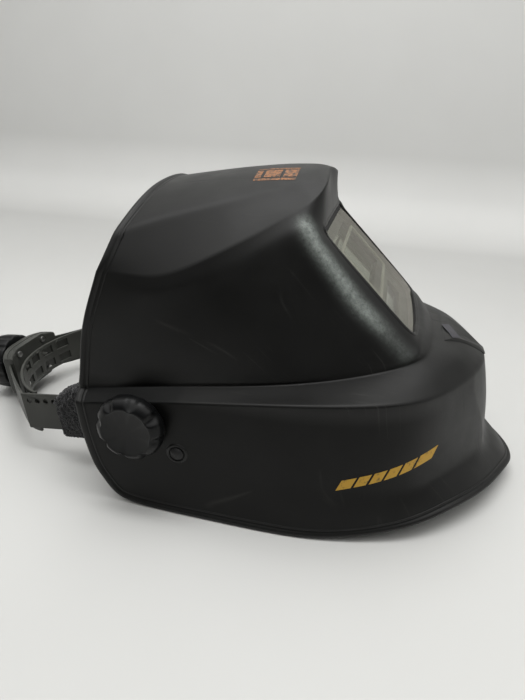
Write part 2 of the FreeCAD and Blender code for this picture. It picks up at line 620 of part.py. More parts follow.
keep("ratchet_housing", housing, GEAR)
keep("ratchet_cover", cover, GEAR)
keep("case_screws", Part.makeCompound(screws), GEAR)

gear = rod(5.4, 9.4, (house_back + 2.4, 0, centre), (1, 0, 0))
gear = gear.cut(rod(3.02, 6.6, (house_back + 2, 0, centre), (1, 0, 0)))
for i in range(10):
    turn = 2 * math.pi * i / 10
    at = (house_back, 5.9 * math.cos(turn), centre + 5.9 * math.sin(turn))
    gear = gear.cut(rod(0.9, 14, at, (1, 0, 0)))
keep("pinion", gear, GEAR)
dial = lobed(size("ratchet_radius") - 1, 10, 1.0, size("ratchet_thick"), 3.0, 1.0, 2.5)
dial = dial.fuse(rod(3.0, 8.2, (0, -7.0, 0), (0, 1, 0)))
dial = dial.cut(rod(11.0, 2.2, (0, 0.9, 0), (0, 1, 0)).cut(rod(3.0, 9, (0, -1, 0), (0, 1, 0))))
dial_place = GEAR.multiply(Place(V(house_back, 0, centre), Rot(V(0, 0, 1), 90)))
keep("ratchet_knob", dial, dial_place)
spring = ring_y(10.0, 3.4, 1.3, 2.0)
for i in range(4):
    turn = math.pi / 2 * i
    spring = spring.fuse(Part.makeSphere(1.0, V(7.5 * math.cos(turn), 1.4, 7.5 * math.sin(turn))))
keep("click_spring", spring, dial_place)

NAPE = [(-104.5, 78.6), (-112, 75.2), (-124, 66), (-141, 46), (-153, 22), (-156.5, 0)]
nape = smooth_strip(two_sided(NAPE), -2.0, centre - 13, centre + 13)
for z in (centre - 6.5, centre + 6.5):
    for y in (-26, -9, 9, 26):
        nape = nape.cut(box(-166, -138, y - 6.2, y + 6.2, z - 3.6, z + 3.6))
    for x in (-132, -116):
        nape = nape.cut(box(x - 5.5, x + 5.5, 42, 90, z - 3.6, z + 3.6))
        nape = nape.cut(box(x - 5.5, x + 5.5, -90, -42, z - 3.6, z + 3.6))
keep("nape_band", nape, GEAR)

CROWN_X = -16.0


def hoop(line, thick, wide):
    inner = push(line, -thick)
    x = CROWN_X - wide / 2
    edges = [spline([(x, y, z) for y, z in line]), spline([(x, y, z) for y, z in inner])]
    ends = [Part.makeLine(V(x, *line[i]), V(x, *inner[i])) for i in (0, -1)]
    return Part.Face(Part.Wire(Part.__sortEdges__(edges + ends))).extrude(V(wide, 0, 0))


top = size("crown_top")
UNDER = [(82.2, -28), (81.8, -2), (79, 32), (67, 63)]
UNDER += [(45, top - 13), (20, top - 3), (0, top - 0.5), (-14, top - 1.5)]
OVER = [(82.2, -28), (81.8, -2), (79.2, 33), (68, 65)]
OVER += [(46, top - 10), (20, top + 0.5), (0, top + 2.2), (-14, top + 1.8)]
SNAPS = (-8, 8)
under = hoop(UNDER, size("strap_thick"), size("crown_wide"))
over = hoop(OVER, size("strap_thick"), size("crown_wide")).mirror(V(), V(0, 1, 0))
rivet = rod(2.05, 400, (CROWN_X, -200, centre), (0, 1, 0))
straps = []
for strap in (under, over):
    for y in SNAPS:
        strap = strap.cut(rod(2.05, 40, (CROWN_X, y, top - 20), (0, 0, 1)))
    straps.append(strap.cut(rivet))
keep("crown_strap_left", straps[0], GEAR)
keep("crown_strap_right", straps[1], GEAR)
snaps = []
for y in SNAPS:
    shank = rod(2.0, 8.5, (CROWN_X, y, top - 4), (0, 0, 1))
    snaps.append(shank.fuse(rod(4.0, 1.2, (CROWN_X, y, top + 4.4), (0, 0, 1))))
keep("crown_snaps", Part.makeCompound(snaps), GEAR)
rivets = []
for side in (-1, 1):
    shank = rod(2.0, 6.2, (CROWN_X, side * 79.5, centre), (0, side, 0))
    inside = rod(3.6, 0.9, (CROWN_X, side * 79.0, centre), (0, side, 0))
    outside = rod(3.6, 0.9, (CROWN_X, side * 85.1, centre), (0, side, 0))
    rivets.append(fuse([shank, inside, outside]))
keep("crown_rivets", Part.makeCompound(rivets), GEAR)

PAD_LINE = [(-1, 84.0), (12, 79.5), (29, 65), (42, 38), (47, 0)]
pad_depth = size("band_thick") + 0.6
brow = smooth_strip(two_sided(PAD_LINE), size("pad_thick"), band_low - 3, band_top + 3, pad_depth)
keep("brow_pad", brow, GEAR)
sleeve = rounded_box(37, 13.6, band_low - 3, 7.6, 3.0, -64.5, 85.2)
sleeve = sleeve.cut(box(-110, -40, 80.8, 89.7, band_low - 0.4, 4.6))
sides("side_sleeve", sleeve, GEAR)

# ---------------------------------------------------------------- check and write
doc.recompute()
os.makedirs("parts", exist_ok=True)
for item in doc.Objects:
    if "Invalid" in item.State or "Error" in item.State:
        raise RuntimeError("%s is %s" % (item.Label, item.State))
for item in parts:
    shape = item.Shape
    if shape.isNull() or not shape.isValid() or not shape.Solids:
        raise RuntimeError("%s has no sound solid" % item.Label)
    shape.exportStep("parts/%s.step" % item.Label)
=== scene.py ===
"""The welding helmet's visual model, dressed round the CAD frame.

In this order: finishes, the moulded shell, finishes for the carried-over nodes, knobs, the rear case, small
marks and mouldings, the window's front, the soft pieces, and last the room, the lights and the camera.
"""
import json
import math

import bmesh
import bpy
import numpy as np
from mathutils import Matrix, Vector, noise
from mathutils.bvhtree import BVHTree


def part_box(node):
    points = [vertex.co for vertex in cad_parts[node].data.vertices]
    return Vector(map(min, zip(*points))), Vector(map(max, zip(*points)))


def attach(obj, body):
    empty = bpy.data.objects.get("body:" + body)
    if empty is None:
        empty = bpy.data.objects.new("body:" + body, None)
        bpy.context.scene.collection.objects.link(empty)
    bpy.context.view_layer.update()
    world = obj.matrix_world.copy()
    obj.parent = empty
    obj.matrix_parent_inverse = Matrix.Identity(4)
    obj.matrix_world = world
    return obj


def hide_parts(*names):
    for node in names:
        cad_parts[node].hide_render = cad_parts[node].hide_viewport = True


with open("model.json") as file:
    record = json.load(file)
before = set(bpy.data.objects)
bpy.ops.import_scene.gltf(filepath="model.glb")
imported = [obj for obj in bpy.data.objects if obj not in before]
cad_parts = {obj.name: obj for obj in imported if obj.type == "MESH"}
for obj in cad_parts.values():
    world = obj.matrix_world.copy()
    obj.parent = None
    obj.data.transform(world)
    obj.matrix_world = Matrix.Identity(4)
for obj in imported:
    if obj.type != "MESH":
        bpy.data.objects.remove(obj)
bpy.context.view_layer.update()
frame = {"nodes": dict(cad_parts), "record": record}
scene = bpy.context.scene

# The helmet's own measures are in millimetres, with the tilt pivot at PIVOT_X, PIVOT_Z. The headgear's start
# at the pivot and run along its own band, which leans up at the front by LEAN. Bevels, voxels, masks and the
# room are in metres.
PIVOT_X, PIVOT_Z, LEAN = -168.0, 68.0, math.radians(6.8)
washer_low, washer_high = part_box("tension_washer_left")
SHIFT = (washer_low.x + washer_high.x) * 500 - PIVOT_X


def at(x, y, z):
    """A point of the helmet, from its own millimetres to the frame's metres."""
    return Vector(((x + SHIFT) / 1000, y / 1000, z / 1000))


def gear(x, y, z):
    """A point of the headgear, from millimetres along its band to the frame's metres."""
    return at(PIVOT_X + x * math.cos(LEAN) - z * math.sin(LEAN), y,
              PIVOT_Z + x * math.sin(LEAN) + z * math.cos(LEAN))


# ------------------------------------------------------------------ finishes
class Finish:
    """A node material built step by step."""

    def __init__(self, name, **sockets):
        self.mat = bpy.data.materials.new(name)
        self.mat.use_nodes = True
        self.tree = self.mat.node_tree
        self.shader = self.tree.nodes["Principled BSDF"]
        for key, value in sockets.items():
            self.set(key.replace("_", " "), value)

    def set(self, socket, value):
        """Links the shader's socket to another node's output, or writes a constant on it."""
        if hasattr(value, "links"):
            self.tree.links.new(value, self.shader.inputs[socket])
        else:
            self.shader.inputs[socket].default_value = value

    def node(self, kind, **settings):
        made = self.tree.nodes.new("ShaderNode" + kind)
        for key, value in settings.items():
            setattr(made, key, value)
        return made

    def link(self, source, target):
        self.tree.links.new(source, target)

    def place(self, scale=(1, 1, 1), turn=(0, 0, 0)):
        """The object's own coordinates, stretched and turned."""
        coords = self.node("TexCoord")
        mapping = self.node("Mapping")
        mapping.inputs["Scale"].default_value = scale
        mapping.inputs["Rotation"].default_value = turn
        self.link(coords.outputs["Object"], mapping.inputs["Vector"])
        return mapping.outputs["Vector"]

    def noise(self, scale, detail=4.0, rough=0.6, stretch=(1, 1, 1), turn=(0, 0, 0)):
        made = self.node("TexNoise")
        made.inputs["Scale"].default_value = scale
        made.inputs["Detail"].default_value = detail
        made.inputs["Roughness"].default_value = rough
        self.link(self.place(stretch, turn), made.inputs["Vector"])
        return made.outputs["Fac"]

    def ramp(self, fac, *stops):
        """A colour ramp through stops of (position, grey level or colour)."""
        made = self.node("ValToRGB")
        points = made.color_ramp.elements
        while len(points) < len(stops):
            points.new(0.5)
        for point, (where, colour) in zip(points, stops):
            point.position = where
            point.color = (*colour, 1) if isinstance(colour, tuple) else (colour, colour, colour, 1)
        self.link(fac, made.inputs["Fac"])
        return made.outputs["Color"]

    def mask(self, name):
        return self.node("Attribute", attribute_name=name).outputs["Fac"]

    def mix(self, fac, a, b, how="MIX"):
        made = self.node("Mix", data_type="RGBA", blend_type=how)
        for value, socket in ((fac, made.inputs[0]), (a, made.inputs[6]), (b, made.inputs[7])):
            if hasattr(value, "links"):
                self.link(value, socket)
            elif isinstance(value, tuple):
                socket.default_value = (*value, 1)
            elif socket.type == "RGBA":
                socket.default_value = (value, value, value, 1)
            else:
                socket.default_value = value
        return made.outputs[2]

    def math(self, how, a, b=0.0, clamp=False):
        made = self.node("Math", operation=how, use_clamp=clamp)
        for value, socket in ((a, made.inputs[0]), (b, made.inputs[1])):
            if hasattr(value, "links"):
                self.link(value, socket)
            else:
                socket.default_value = value
        return made.outputs[0]

    def bump(self, height, strength, distance=0.001):
        """Adds a bump on top of any the shader already has."""
        made = self.node("Bump")
        made.inputs["Strength"].default_value = strength
        made.inputs["Distance"].default_value = distance
        self.link(height, made.inputs["Height"])
        if self.shader.inputs["Normal"].is_linked:
            self.link(self.shader.inputs["Normal"].links[0].from_socket, made.inputs["Normal"])
        self.link(made.outputs["Normal"], self.shader.inputs["Normal"])


def scratches(made, count_scale, turn, thin):
    """Fine stray lines: the thin band round the middle of a stretched noise, broken up by a broad one."""
    line = made.noise(count_scale, 1.0, 0.4, (0.35, 14, 0.35), turn)
    band = made.math("ABSOLUTE", made.math("SUBTRACT", line, 0.5))
    drawn = made.ramp(band, (0.0, 1.0), (thin, 0.0))
    gaps = made.ramp(made.noise(count_scale * 1.7, 1.0, 0.5), (0.56, 0.0), (0.66, 1.0))
    return made.math("MULTIPLY", drawn, gaps)


def plastic(name, base, rough, specular=0.3):
    """Plain moulded plastic: a slightly clouded colour, an uneven gloss and a fine grain."""
    made = Finish(name, Roughness=rough)
    made.set("Specular IOR Level", specular)
    cloud = made.noise(35, 5)
    dark = tuple(c * 0.85 for c in base)
    light = tuple(c * 1.2 for c in base)
    made.set("Base Color", made.ramp(cloud, (0.3, dark), (0.7, light)))
    made.set("Roughness", made.ramp(made.noise(60, 6), (0.3, rough - 0.06), (0.7, rough + 0.08)))
    made.bump(made.noise(900, 3), 0.12, 0.0002)
    return made


BLACK_DARK, BLACK_LIGHT = (0.0026, 0.0026, 0.0024), (0.0040, 0.0040, 0.0036)
# The belt's black is a little lighter than the rest: painted light, for its upward-facing ledge.
BELT_PAINTED_LIGHT_BLACK = (0.0046, 0.0048, 0.0047)
SCRATCH_GREY = (0.13, 0.13, 0.12)
# Pale grey of the painted highlight along the ridge beside the window.
PAINTED_HIGHLIGHT_GREY = (0.33, 0.365, 0.34)


def shell_finish():
    """Scratched black plastic, duller on the jaw and belt; the belt is painted a little lighter as painted
    light on its upward ledge, and a patchy pale painted highlight runs where its mask says.
    """
    made = Finish("shell_plastic")
    jaw_duller = made.math("MULTIPLY", made.mask("jaw"), 0.17)
    belt_duller = made.math("MULTIPLY", made.mask("belt"), 0.07)
    duller = made.math("ADD", jaw_duller, belt_duller)
    made.set("Specular IOR Level", made.math("SUBTRACT", 0.37, duller))
    black = made.ramp(made.noise(18, 6), (0.3, BLACK_DARK), (0.7, BLACK_LIGHT))
    # Painted light: the belt is coloured a little lighter, as if its ledge catches light from above.
    belt_lit = made.mix(made.mask("belt"), black, BELT_PAINTED_LIGHT_BLACK)
    fine = scratches(made, 9, (0.3, 0.5, 0.6), 0.012)
    more = scratches(made, 14, (1.2, 0.2, 2.1), 0.010)
    marks = made.math("MAXIMUM", fine, more)
    scratched = made.mix(made.math("MULTIPLY", marks, 0.14), belt_lit, SCRATCH_GREY)
    # A patchy pale painted highlight along the ridge beside the window, where its mask says.
    breakup = made.ramp(made.noise(270, 10, 0.85), (0.30, 0.0), (0.68, 1.0))
    patchy = made.math("ADD", made.math("MULTIPLY", breakup, 0.8), 0.12)
    highlight_amount = made.math("MULTIPLY", made.mask("ridge_highlight"), patchy)
    made.set("Base Color", made.mix(highlight_amount, scratched, PAINTED_HIGHLIGHT_GREY))
    rough = made.ramp(made.noise(40, 6), (0.3, 0.40), (0.7, 0.50))
    made.set("Roughness", made.math("ADD", rough, made.math("MULTIPLY", marks, 0.2)))
    made.bump(made.noise(700, 3), 0.10, 0.0002)
    made.bump(made.noise(60, 2), 0.05, 0.001)
    return made


# ------------------------------------------------------------------ meshes
def mesh_object(name, points, faces, finish, smooth=True):
    """A new object in the scene, from points in metres."""
    mesh = bpy.data.meshes.new(name)
    mesh.from_pydata([tuple(p) for p in points], [], faces)
    mesh.validate()
    mesh.update()
    made = bpy.data.objects.new(name, mesh)
    scene.collection.objects.link(made)
    mesh.materials.append(finish.mat)
    if smooth:
        shade_smooth(made)
    return made


def settle(obj):
    """Applies an object's modifiers."""
    graph = bpy.context.evaluated_depsgraph_get()
    done = bpy.data.meshes.new_from_object(obj.evaluated_get(graph), depsgraph=graph)
    obj.modifiers.clear()
    obj.data = done


def turn_normals_out(obj):
    work = bmesh.new()
    work.from_mesh(obj.data)
    bmesh.ops.recalc_face_normals(work, faces=work.faces)
    work.to_mesh(obj.data)
    work.free()


def coords(mesh):
    """The vertices as an array, one row each."""
    out = np.empty(len(mesh.vertices) * 3)
    mesh.vertices.foreach_get("co", out)
    return out.reshape(-1, 3)


def add_mask(mesh, name, values):
    """A value from 0 to 1 at each vertex, for a finish to read."""
    layer = mesh.attributes.new(name, "FLOAT", "POINT")
    layer.data.foreach_set("value", np.clip(values, 0, 1).astype(np.float32))


def held_back(moves, longest):
    """The same moves, none of them over its longest."""
    length = np.linalg.norm(moves, axis=1)
    return moves * np.minimum(1.0, longest / np.maximum(length, 1e-9))[:, None]


def sweep(rings, closed=True):
    """The points of all rings in one list, and quads from each ring to the next."""
    n, m = len(rings), len(rings[0])
    faces = []
    for i in range(n if closed else n - 1):
        here, there = i * m, (i + 1) % n * m
        for j in range(m):
            beside = (j + 1) % m
            faces.append((here + j, here + beside, there + beside, there + j))
    return [p for ring in rings for p in ring], faces


def capped(rings):
    """Rings joined in a row, with a face over each end."""
    points, faces = sweep(rings, closed=False)
    m = len(rings[0])
    last = len(points) - m
    faces += [tuple(range(m))[::-1], tuple(range(last, last + m))]
    return points, faces


def ease_edges(obj, width, segments, degrees=30.0):
    """Rounds every edge sharper than the angle."""
    eased = obj.modifiers.new("eased", "BEVEL")
    eased.width = width
    eased.segments = segments
    eased.limit_method = "ANGLE"
    eased.angle_limit = math.radians(degrees)
    return eased


def subdivide(obj, levels):
    finer = obj.modifiers.new("finer", "SUBSURF")
    finer.levels = finer.render_levels = levels
    return finer


def shade_smooth(obj):
    obj.data.polygons.foreach_set("use_smooth", [True] * len(obj.data.polygons))


# ------------------------------------------------------------------ shell
# Half of the shell as rows from the brow down to the rim, each from the rear edge to the front middle.
# Every point is x, distance from the middle plane, z.
ROWS = {
    "brow": [
        (-198, 97, 158), (-178, 96, 158), (-155, 94.5, 159.5), (-129, 85.5, 171),
        (-112, 77.5, 180), (-98, 70, 188), (-86, 61.5, 195.5), (-75.5, 53.5, 201.5),
        (-70.5, 44.5, 206.5), (-68.2, 38.5, 209.8), (-67.3, 31, 212.3), (-68.3, 16, 215.8),
        (-69.5, 0, 217.5)],
    "under": [
        (-201.5, 99.5, 146), (-180, 99, 148), (-155, 98, 150), (-129, 90, 160.5),
        (-112, 83.5, 169), (-98, 77.5, 177.5), (-85, 70.5, 186), (-75, 64, 191),
        (-68.5, 48, 196), (-67, 38, 198.5), (-66.7, 28, 200), (-66.7, 14, 201),
        (-66.7, 0, 201.5)],
    "top": [
        (-206, 102.5, 130), (-182, 102, 131), (-155, 100.5, 134), (-129, 95.5, 142),
        (-110, 90, 151), (-94, 83.5, 160), (-78, 75, 172), (-66, 68.5, 180), (-64.9, 53, 184.9),
        (-65.3, 42, 186.1), (-65.5, 28, 186.3), (-65.5, 14, 186.3), (-65.5, 0, 186.3)],
    "side": [
        (-209.5, 104.5, 112), (-182, 104.3, 113), (-152, 103.4, 116), (-125, 100.4, 121),
        (-101, 95.5, 126.5), (-80, 88, 132.5), (-58, 78, 140), (-39, 68.5, 147.5),
        (-32.5, 53.3, 154)],
    "bottom": [
        (-211, 106.5, 94), (-183, 106.4, 97), (-152, 105.6, 100), (-122, 103.7, 103), (-92, 98.8, 106),
        (-64, 91.5, 109), (-34, 80.5, 112.5), (-4, 67.5, 115.5), (-1, 53, 123.5),
        (0.2, 41, 123.2), (1.2, 27, 122.6), (1.6, 13, 122.2), (1.7, 0, 122.1)],
    "lip": [
        (-212, 108, 84), (-183, 107.5, 88), (-152, 106.5, 92.5), (-121, 104.5, 96.5),
        (-90, 100, 99.5), (-60, 92.5, 102), (-28, 79.5, 106.5), (2, 65.5, 112), (4, 57, 117),
        (5.2, 43, 120), (7, 28, 120.3), (7.8, 14, 120.5), (8, 0, 120.5)],
    "valley": [
        (-212, 108.2, 79.5), (-183, 107.5, 84.5), (-152, 106.3, 89.5), (-121, 104.3, 93.5),
        (-90, 100, 96.8), (-58, 92, 100), (-26, 79.5, 104), (2, 65, 109), (9, 54, 111),
        (12.5, 42, 112), (14.5, 28, 112.5), (15.5, 14, 113), (16, 0, 113)],
    "deck": [
        (-211.7, 113, 77), (-184, 112.6, 81.5), (-153, 112.3, 86.8), (-121, 111.2, 91.2),
        (-89, 108.5, 94.8), (-54, 103.5, 98.2), (-18, 91.5, 101.5), (10, 74, 104),
        (22, 57, 105.5), (30, 43, 107), (34, 28, 107.8), (35.5, 14, 108.5), (36, 0, 108.5)],
    "ridge": [
        (-210.5, 117.5, 74), (-185, 118, 78.5), (-154, 118, 84), (-122, 118, 88.5),
        (-88, 117.5, 93.3), (-50, 114, 97), (-10, 102.5, 98.5), (17.5, 80, 96.8),
        (33.5, 57, 95.5), (43.5, 40, 95.5), (50, 25, 96), (53.5, 12, 96.8), (54.5, 0, 97)],
    "wall": [
        (-208.5, 118.2, 60), (-183, 119, 66), (-153, 119.2, 71), (-122, 119, 75),
        (-88, 118.4, 79), (-49.5, 115.5, 82), (-8, 103, 82.5), (19.5, 80.5, 82),
        (36.5, 58.5, 82), (46.3, 43.2, 82), (54, 25, 82), (57.5, 12, 83), (58.5, 0, 83.5)],
    "mid": [
        (-205, 118.6, 42), (-180, 119.3, 48), (-151, 119.6, 53), (-121, 119.4, 56),
        (-87.5, 118.8, 58), (-49, 116.6, 60.5), (-6, 104, 61), (21.5, 81.5, 60),
        (39, 60.5, 60.5), (55.4, 36.8, 61), (59.5, 25.5, 60), (62.5, 12.5, 60.5), (63.5, 0, 61)],
    "skirt": [
        (-200, 118.8, 26), (-176, 119.3, 32), (-148, 119.6, 36), (-119, 119.4, 37),
        (-86, 118.6, 37.5), (-48, 116.8, 38), (-4.5, 104.5, 37.5), (23, 82.5, 37),
        (41, 63.5, 38.5), (62, 32.5, 39.5), (62.5, 26.5, 38.5), (66.5, 13, 36.5), (68, 0, 36)],
    "flare": [
        (-192, 119, 13), (-170, 119.6, 17), (-143, 120, 19), (-114, 120.2, 19),
        (-82, 119.8, 19.5), (-45, 118.5, 20), (-1, 106.5, 24), (27.5, 86, 27), (46.5, 66, 29.5),
        (60.5, 47, 29), (72.5, 25.5, 27), (78, 12.5, 25.5), (79.5, 0, 25)],
    "rim": [
        (-181, 119.3, 3.2), (-158, 120.3, 0.6), (-133, 121, 0.6), (-105, 121.5, 0.6),
        (-74, 121.5, 0.6), (-38, 118, 2.2), (6, 106, 9.5), (34, 89, 15), (54, 70, 16.5),
        (69.5, 50, 16), (83, 26, 14.5), (89.5, 12, 13), (91.5, 0, 12.5)],
}
# Four rows over the crown, up from the brow to the middle plane; each ends on the brow's own points.
CROWN = [
    [
        (-195, 92.5, 166.5), (-179, 89, 168.6), (-156, 83, 173.6), (-131, 73, 183.2),
        (-114, 65, 190.3), (-100, 57.5, 197.1), (-87, 50, 203), (-77, 44.5, 206.6)],
    [
        (-192, 82, 179.2), (-178, 76, 185), (-155, 66.5, 192.1), (-131, 57, 198.8),
        (-114, 49.5, 203.2), (-100, 44, 207), (-88, 39.5, 210), (-78, 35.5, 211.8)],
    [
        (-188, 42, 198), (-180, 39, 200), (-158, 35, 204.5), (-133, 29, 209.5),
        (-117, 25, 212.5), (-104, 22, 215), (-91, 20, 216.5), (-78, 18, 217.3)],
    [
        (-186, 0, 203.5), (-178, 0, 205), (-164, 0, 208), (-134, 0, 213), (-119, 0, 215.2),
        (-105, 0, 217), (-91, 0, 218.2), (-78, 0, 218.7)],
]
CROWN_NAMES = ["crown%d" % k for k in range(1, len(CROWN) + 1)]
# The window is the hole between these rows, from the side column to the front middle, the last column.
WINDOW_ROWS = ("top", "side", "bottom")
SIDE_COLUMN = 8
LAST = 12
# How sharp the edges along each row are, the jaw's corner panel and the window's frame.
CREASES = {"brow": 1.0, "under": 0.35, "crown2": 0.9, "valley": 0.8, "lip": 0.35, "ridge": 0.9, "skirt": 0.25}
PANEL_ROWS, PANEL_COLUMN, PANEL_CREASE = ("ridge", "wall", "mid", "skirt"), 9, 0.75
WINDOW_CREASE = 0.6


def half_shell(side):
    """Points and faces of one half; a point's name is its row and column."""
    points, faces = {}, []
    for name, row in [*ROWS.items(), *zip(CROWN_NAMES, CROWN)]:
        for c, (x, y, z) in enumerate(row):
            points[name, c] = (x, side * y, z)
    for k, name in enumerate(CROWN_NAMES, start=1):
        points[name, SIDE_COLUMN] = points["brow", SIDE_COLUMN + k]

    def strip(upper, lower, columns):
        for c in range(columns):
            faces.append(((upper, c), (lower, c), (lower, c + 1), (upper, c + 1)))

    names = list(ROWS)
    for upper, lower in zip(names, names[1:]):
        strip(upper, lower, SIDE_COLUMN if upper in WINDOW_ROWS[:2] else LAST)
    for upper, lower in zip(CROWN_NAMES, ["brow", *CROWN_NAMES]):
        strip(upper, lower, SIDE_COLUMN)
    return points, faces


def shell_cage():
    """Both halves joined in the middle plane: points, faces and the sharpness of each edge."""
    where, index, faces, edge_crease = [], {}, [], {}
    for side in (-1, 1):
        points, quads = half_shell(side)
        names = {}
        for key, p in points.items():
            spot = tuple(round(v, 3) for v in p)
            if spot not in index:
                index[spot] = len(where)
                where.append(p)
            names[key] = index[spot]
        for quad in quads:
            ring = []
            for key in quad:
                if names[key] not in ring:
                    ring.append(names[key])
            faces.append(ring if side < 0 else ring[::-1])
        for row, strength in CREASES.items():
            for c in range(LAST):
                a, b = names.get((row, c)), names.get((row, c + 1))
                if a is not None and b is not None:
                    edge_crease[frozenset((a, b))] = strength
        for a, b in zip(PANEL_ROWS, PANEL_ROWS[1:]):
            edge_crease[frozenset((names[a, PANEL_COLUMN], names[b, PANEL_COLUMN]))] = PANEL_CREASE
        for row in ("top", "bottom"):
            for c in range(SIDE_COLUMN, LAST):
                edge_crease[frozenset((names[row, c], names[row, c + 1]))] = WINDOW_CREASE
        for a, b in zip(WINDOW_ROWS, WINDOW_ROWS[1:]):
            edge_crease[frozenset((names[a, SIDE_COLUMN], names[b, SIDE_COLUMN]))] = WINDOW_CREASE
    return [at(*p) for p in where], faces, edge_crease


# Each round moves a point by this share of its miss, and in all by no more than this share of its shortest
# edge.
FIT_ROUNDS, FIT_STEP, FIT_REACH = 4, 0.8, 0.3


def fitted_shell(finish):
    """The cage is moved until its smoothed surface passes through the measured points."""
    points, faces, edge_crease = shell_cage()
    shell = mesh_object("helmet_shell", points, faces, finish)
    layer = shell.data.attributes.new("crease_edge", "FLOAT", "EDGE")
    for edge in shell.data.edges:
        layer.data[edge.index].value = edge_crease.get(frozenset(edge.vertices), 0.0)
    subdivide(shell, levels=3).boundary_smooth = "ALL"
    goal = coords(shell.data)
    shortest = np.full(len(goal), 1.0)
    for edge in shell.data.edges:
        i, j = edge.vertices
        length = np.linalg.norm(goal[i] - goal[j])
        shortest[i] = min(shortest[i], length)
        shortest[j] = min(shortest[j], length)
    moved = np.zeros_like(goal)
    for _ in range(FIT_ROUNDS):
        graph = bpy.context.evaluated_depsgraph_get()
        surface = coords(shell.evaluated_get(graph).data)[: len(goal)]
        moved += (goal - surface) * FIT_STEP
        moved = held_back(moved, FIT_REACH * shortest)
        shell.data.vertices.foreach_set("co", (goal + moved).ravel())
        shell.data.update()
        bpy.context.view_layer.update()
    settle(shell)
    return shell


def near(p, line):
    """Distance of each point from a polyline, in metres."""
    best = np.full(len(p), np.inf)
    for a, b in zip(line, line[1:]):
        a, b = np.array(a), np.array(b)
        t = np.clip(((p - a) @ (b - a)) / ((b - a) @ (b - a)), 0, 1)
        best = np.minimum(best, np.linalg.norm(p - (a + t[:, None] * (b - a)), axis=1))
    return best


# In metres, but for JAW_FRONT, which is in the helmet's millimetres.
CORNER_COLUMN = 7  # runs down the ridge beside the window, where the pale highlight is painted
# Width of the painted highlight along the ridge, and how it fades out lower down.
HIGHLIGHT_WIDTH = 0.0052
HIGHLIGHT_FADE_FROM, HIGHLIGHT_FADE_OVER, HIGHLIGHT_LEAST = 0.118, 0.022, 0.3
BELT_REACH = 0.0135
JAW_TOP, JAW_TOP_FADE = 0.092, 0.008
JAW_FRONT, JAW_FRONT_FADE = 35, 0.03


def mark_shell(mesh):
    """Where the painted highlight lies on the shell, and where its belt and jaw are; the left is the same as
    the right.
    """
    p = coords(mesh)
    p[:, 1] = np.abs(p[:, 1])
    corner = near(p, [at(*ROWS[name][CORNER_COLUMN]) for name in ("under", *WINDOW_ROWS)])
    fading = np.clip((p[:, 2] - HIGHLIGHT_FADE_FROM) / HIGHLIGHT_FADE_OVER, HIGHLIGHT_LEAST, 1.0)
    add_mask(mesh, "ridge_highlight", np.exp(-(corner / HIGHLIGHT_WIDTH) ** 2) * fading)
    valley, ridge = (near(p, [at(*q) for q in ROWS[name]]) for name in ("valley", "ridge"))
    add_mask(mesh, "belt", np.where(valley + ridge < BELT_REACH, 1.0, 0.0))
    low_down = np.clip((JAW_TOP - p[:, 2]) / JAW_TOP_FADE, 0, 1)
    add_mask(mesh, "jaw", low_down * np.clip((at(JAW_FRONT, 0, 0).x - p[:, 0]) / JAW_FRONT_FADE, 0, 1))


shell_look = shell_finish()
shell = fitted_shell(shell_look)
mark_shell(shell.data)
walls = shell.modifiers.new("wall", "SOLIDIFY")
walls.thickness = 0.0017  # thinner than the CAD's, to stay clear of the tilt stop's plate
walls.offset = -1
walls.use_even_offset = True
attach(shell, "shell")
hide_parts("shell")


def boundary_loops(mesh):
    """Rings of vertex numbers along the open edges, longest first, and each vertex's normal and way in."""
    work = bmesh.new()
    work.from_mesh(mesh)
    open_edges = [e for e in work.edges if len(e.link_faces) == 1]
    beside = {}
    for e in open_edges:
        a, b = (v.index for v in e.verts)
        beside.setdefault(a, []).append(b)
        beside.setdefault(b, []).append(a)
    loops, seen = [], set()
    for start in beside:
        if start in seen:
            continue
        ring, last, now = [start], None, start
        while True:
            seen.add(now)
            step = [v for v in beside[now] if v != last]
            last, now = now, step[0]
            if now == start:
                break
            ring.append(now)
        loops.append(ring)
    normals = {v.index: v.normal.copy() for v in work.verts}
    inward = {}
    for e in open_edges:
        middle = e.link_faces[0].calc_center_median()
        for v in e.verts:
            inward[v.index] = inward.get(v.index, Vector()) + middle - v.co
    work.free()
    return sorted(loops, key=len, reverse=True), normals, inward


def edge_bead(name, ring, normals, inward, profile, finish):
    """A moulded edge: the profile is (outwards past the edge, out of the surface) in mm."""
    where = [shell.data.vertices[i].co.copy() for i in ring]
    n = len(ring)
    rings = []
    for k in range(n):
        along = (where[(k + 1) % n] - where[k - 1]).normalized()
        up = normals[ring[k]].copy()
        up = (up - along * up.dot(along)).normalized()
        out = along.cross(up).normalized()
        if out.dot(inward[ring[k]]) > 0:
            out = -out
        rings.append([where[k] + out * (a / 1000) + up * (b / 1000) for a, b in profile])
    made = mesh_object(name, *sweep(rings), finish)
    turn_normals_out(made)
    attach(made, "shell")


RIM_PROFILE = [
    (-6.5, -0.9), (-6.5, 0.15), (-5.2, 0.35), (-4.6, -0.25), (-4.0, -0.25), (-3.4, 0.5), (-2.5, 1.1),
    (-1.4, 1.35), (-0.3, 1.0), (0.35, 0.1), (0.3, -1.0), (-0.4, -1.9), (-1.6, -2.3), (-2.8, -2.4)]
LIP_PROFILE = [
    (-3.0, -0.2), (-2.6, 0.1), (-1.2, 0.35), (-0.3, 0.3), (0.3, -0.2), (0.4, -3.0), (-0.4, -3.0),
    (-0.9, -1.5)]
loops, normals, inward = boundary_loops(shell.data)
edge_bead("rolled_rim", loops[0], normals, inward, RIM_PROFILE, shell_look)
edge_bead("window_lip", loops[1], normals, inward, LIP_PROFILE, shell_look)

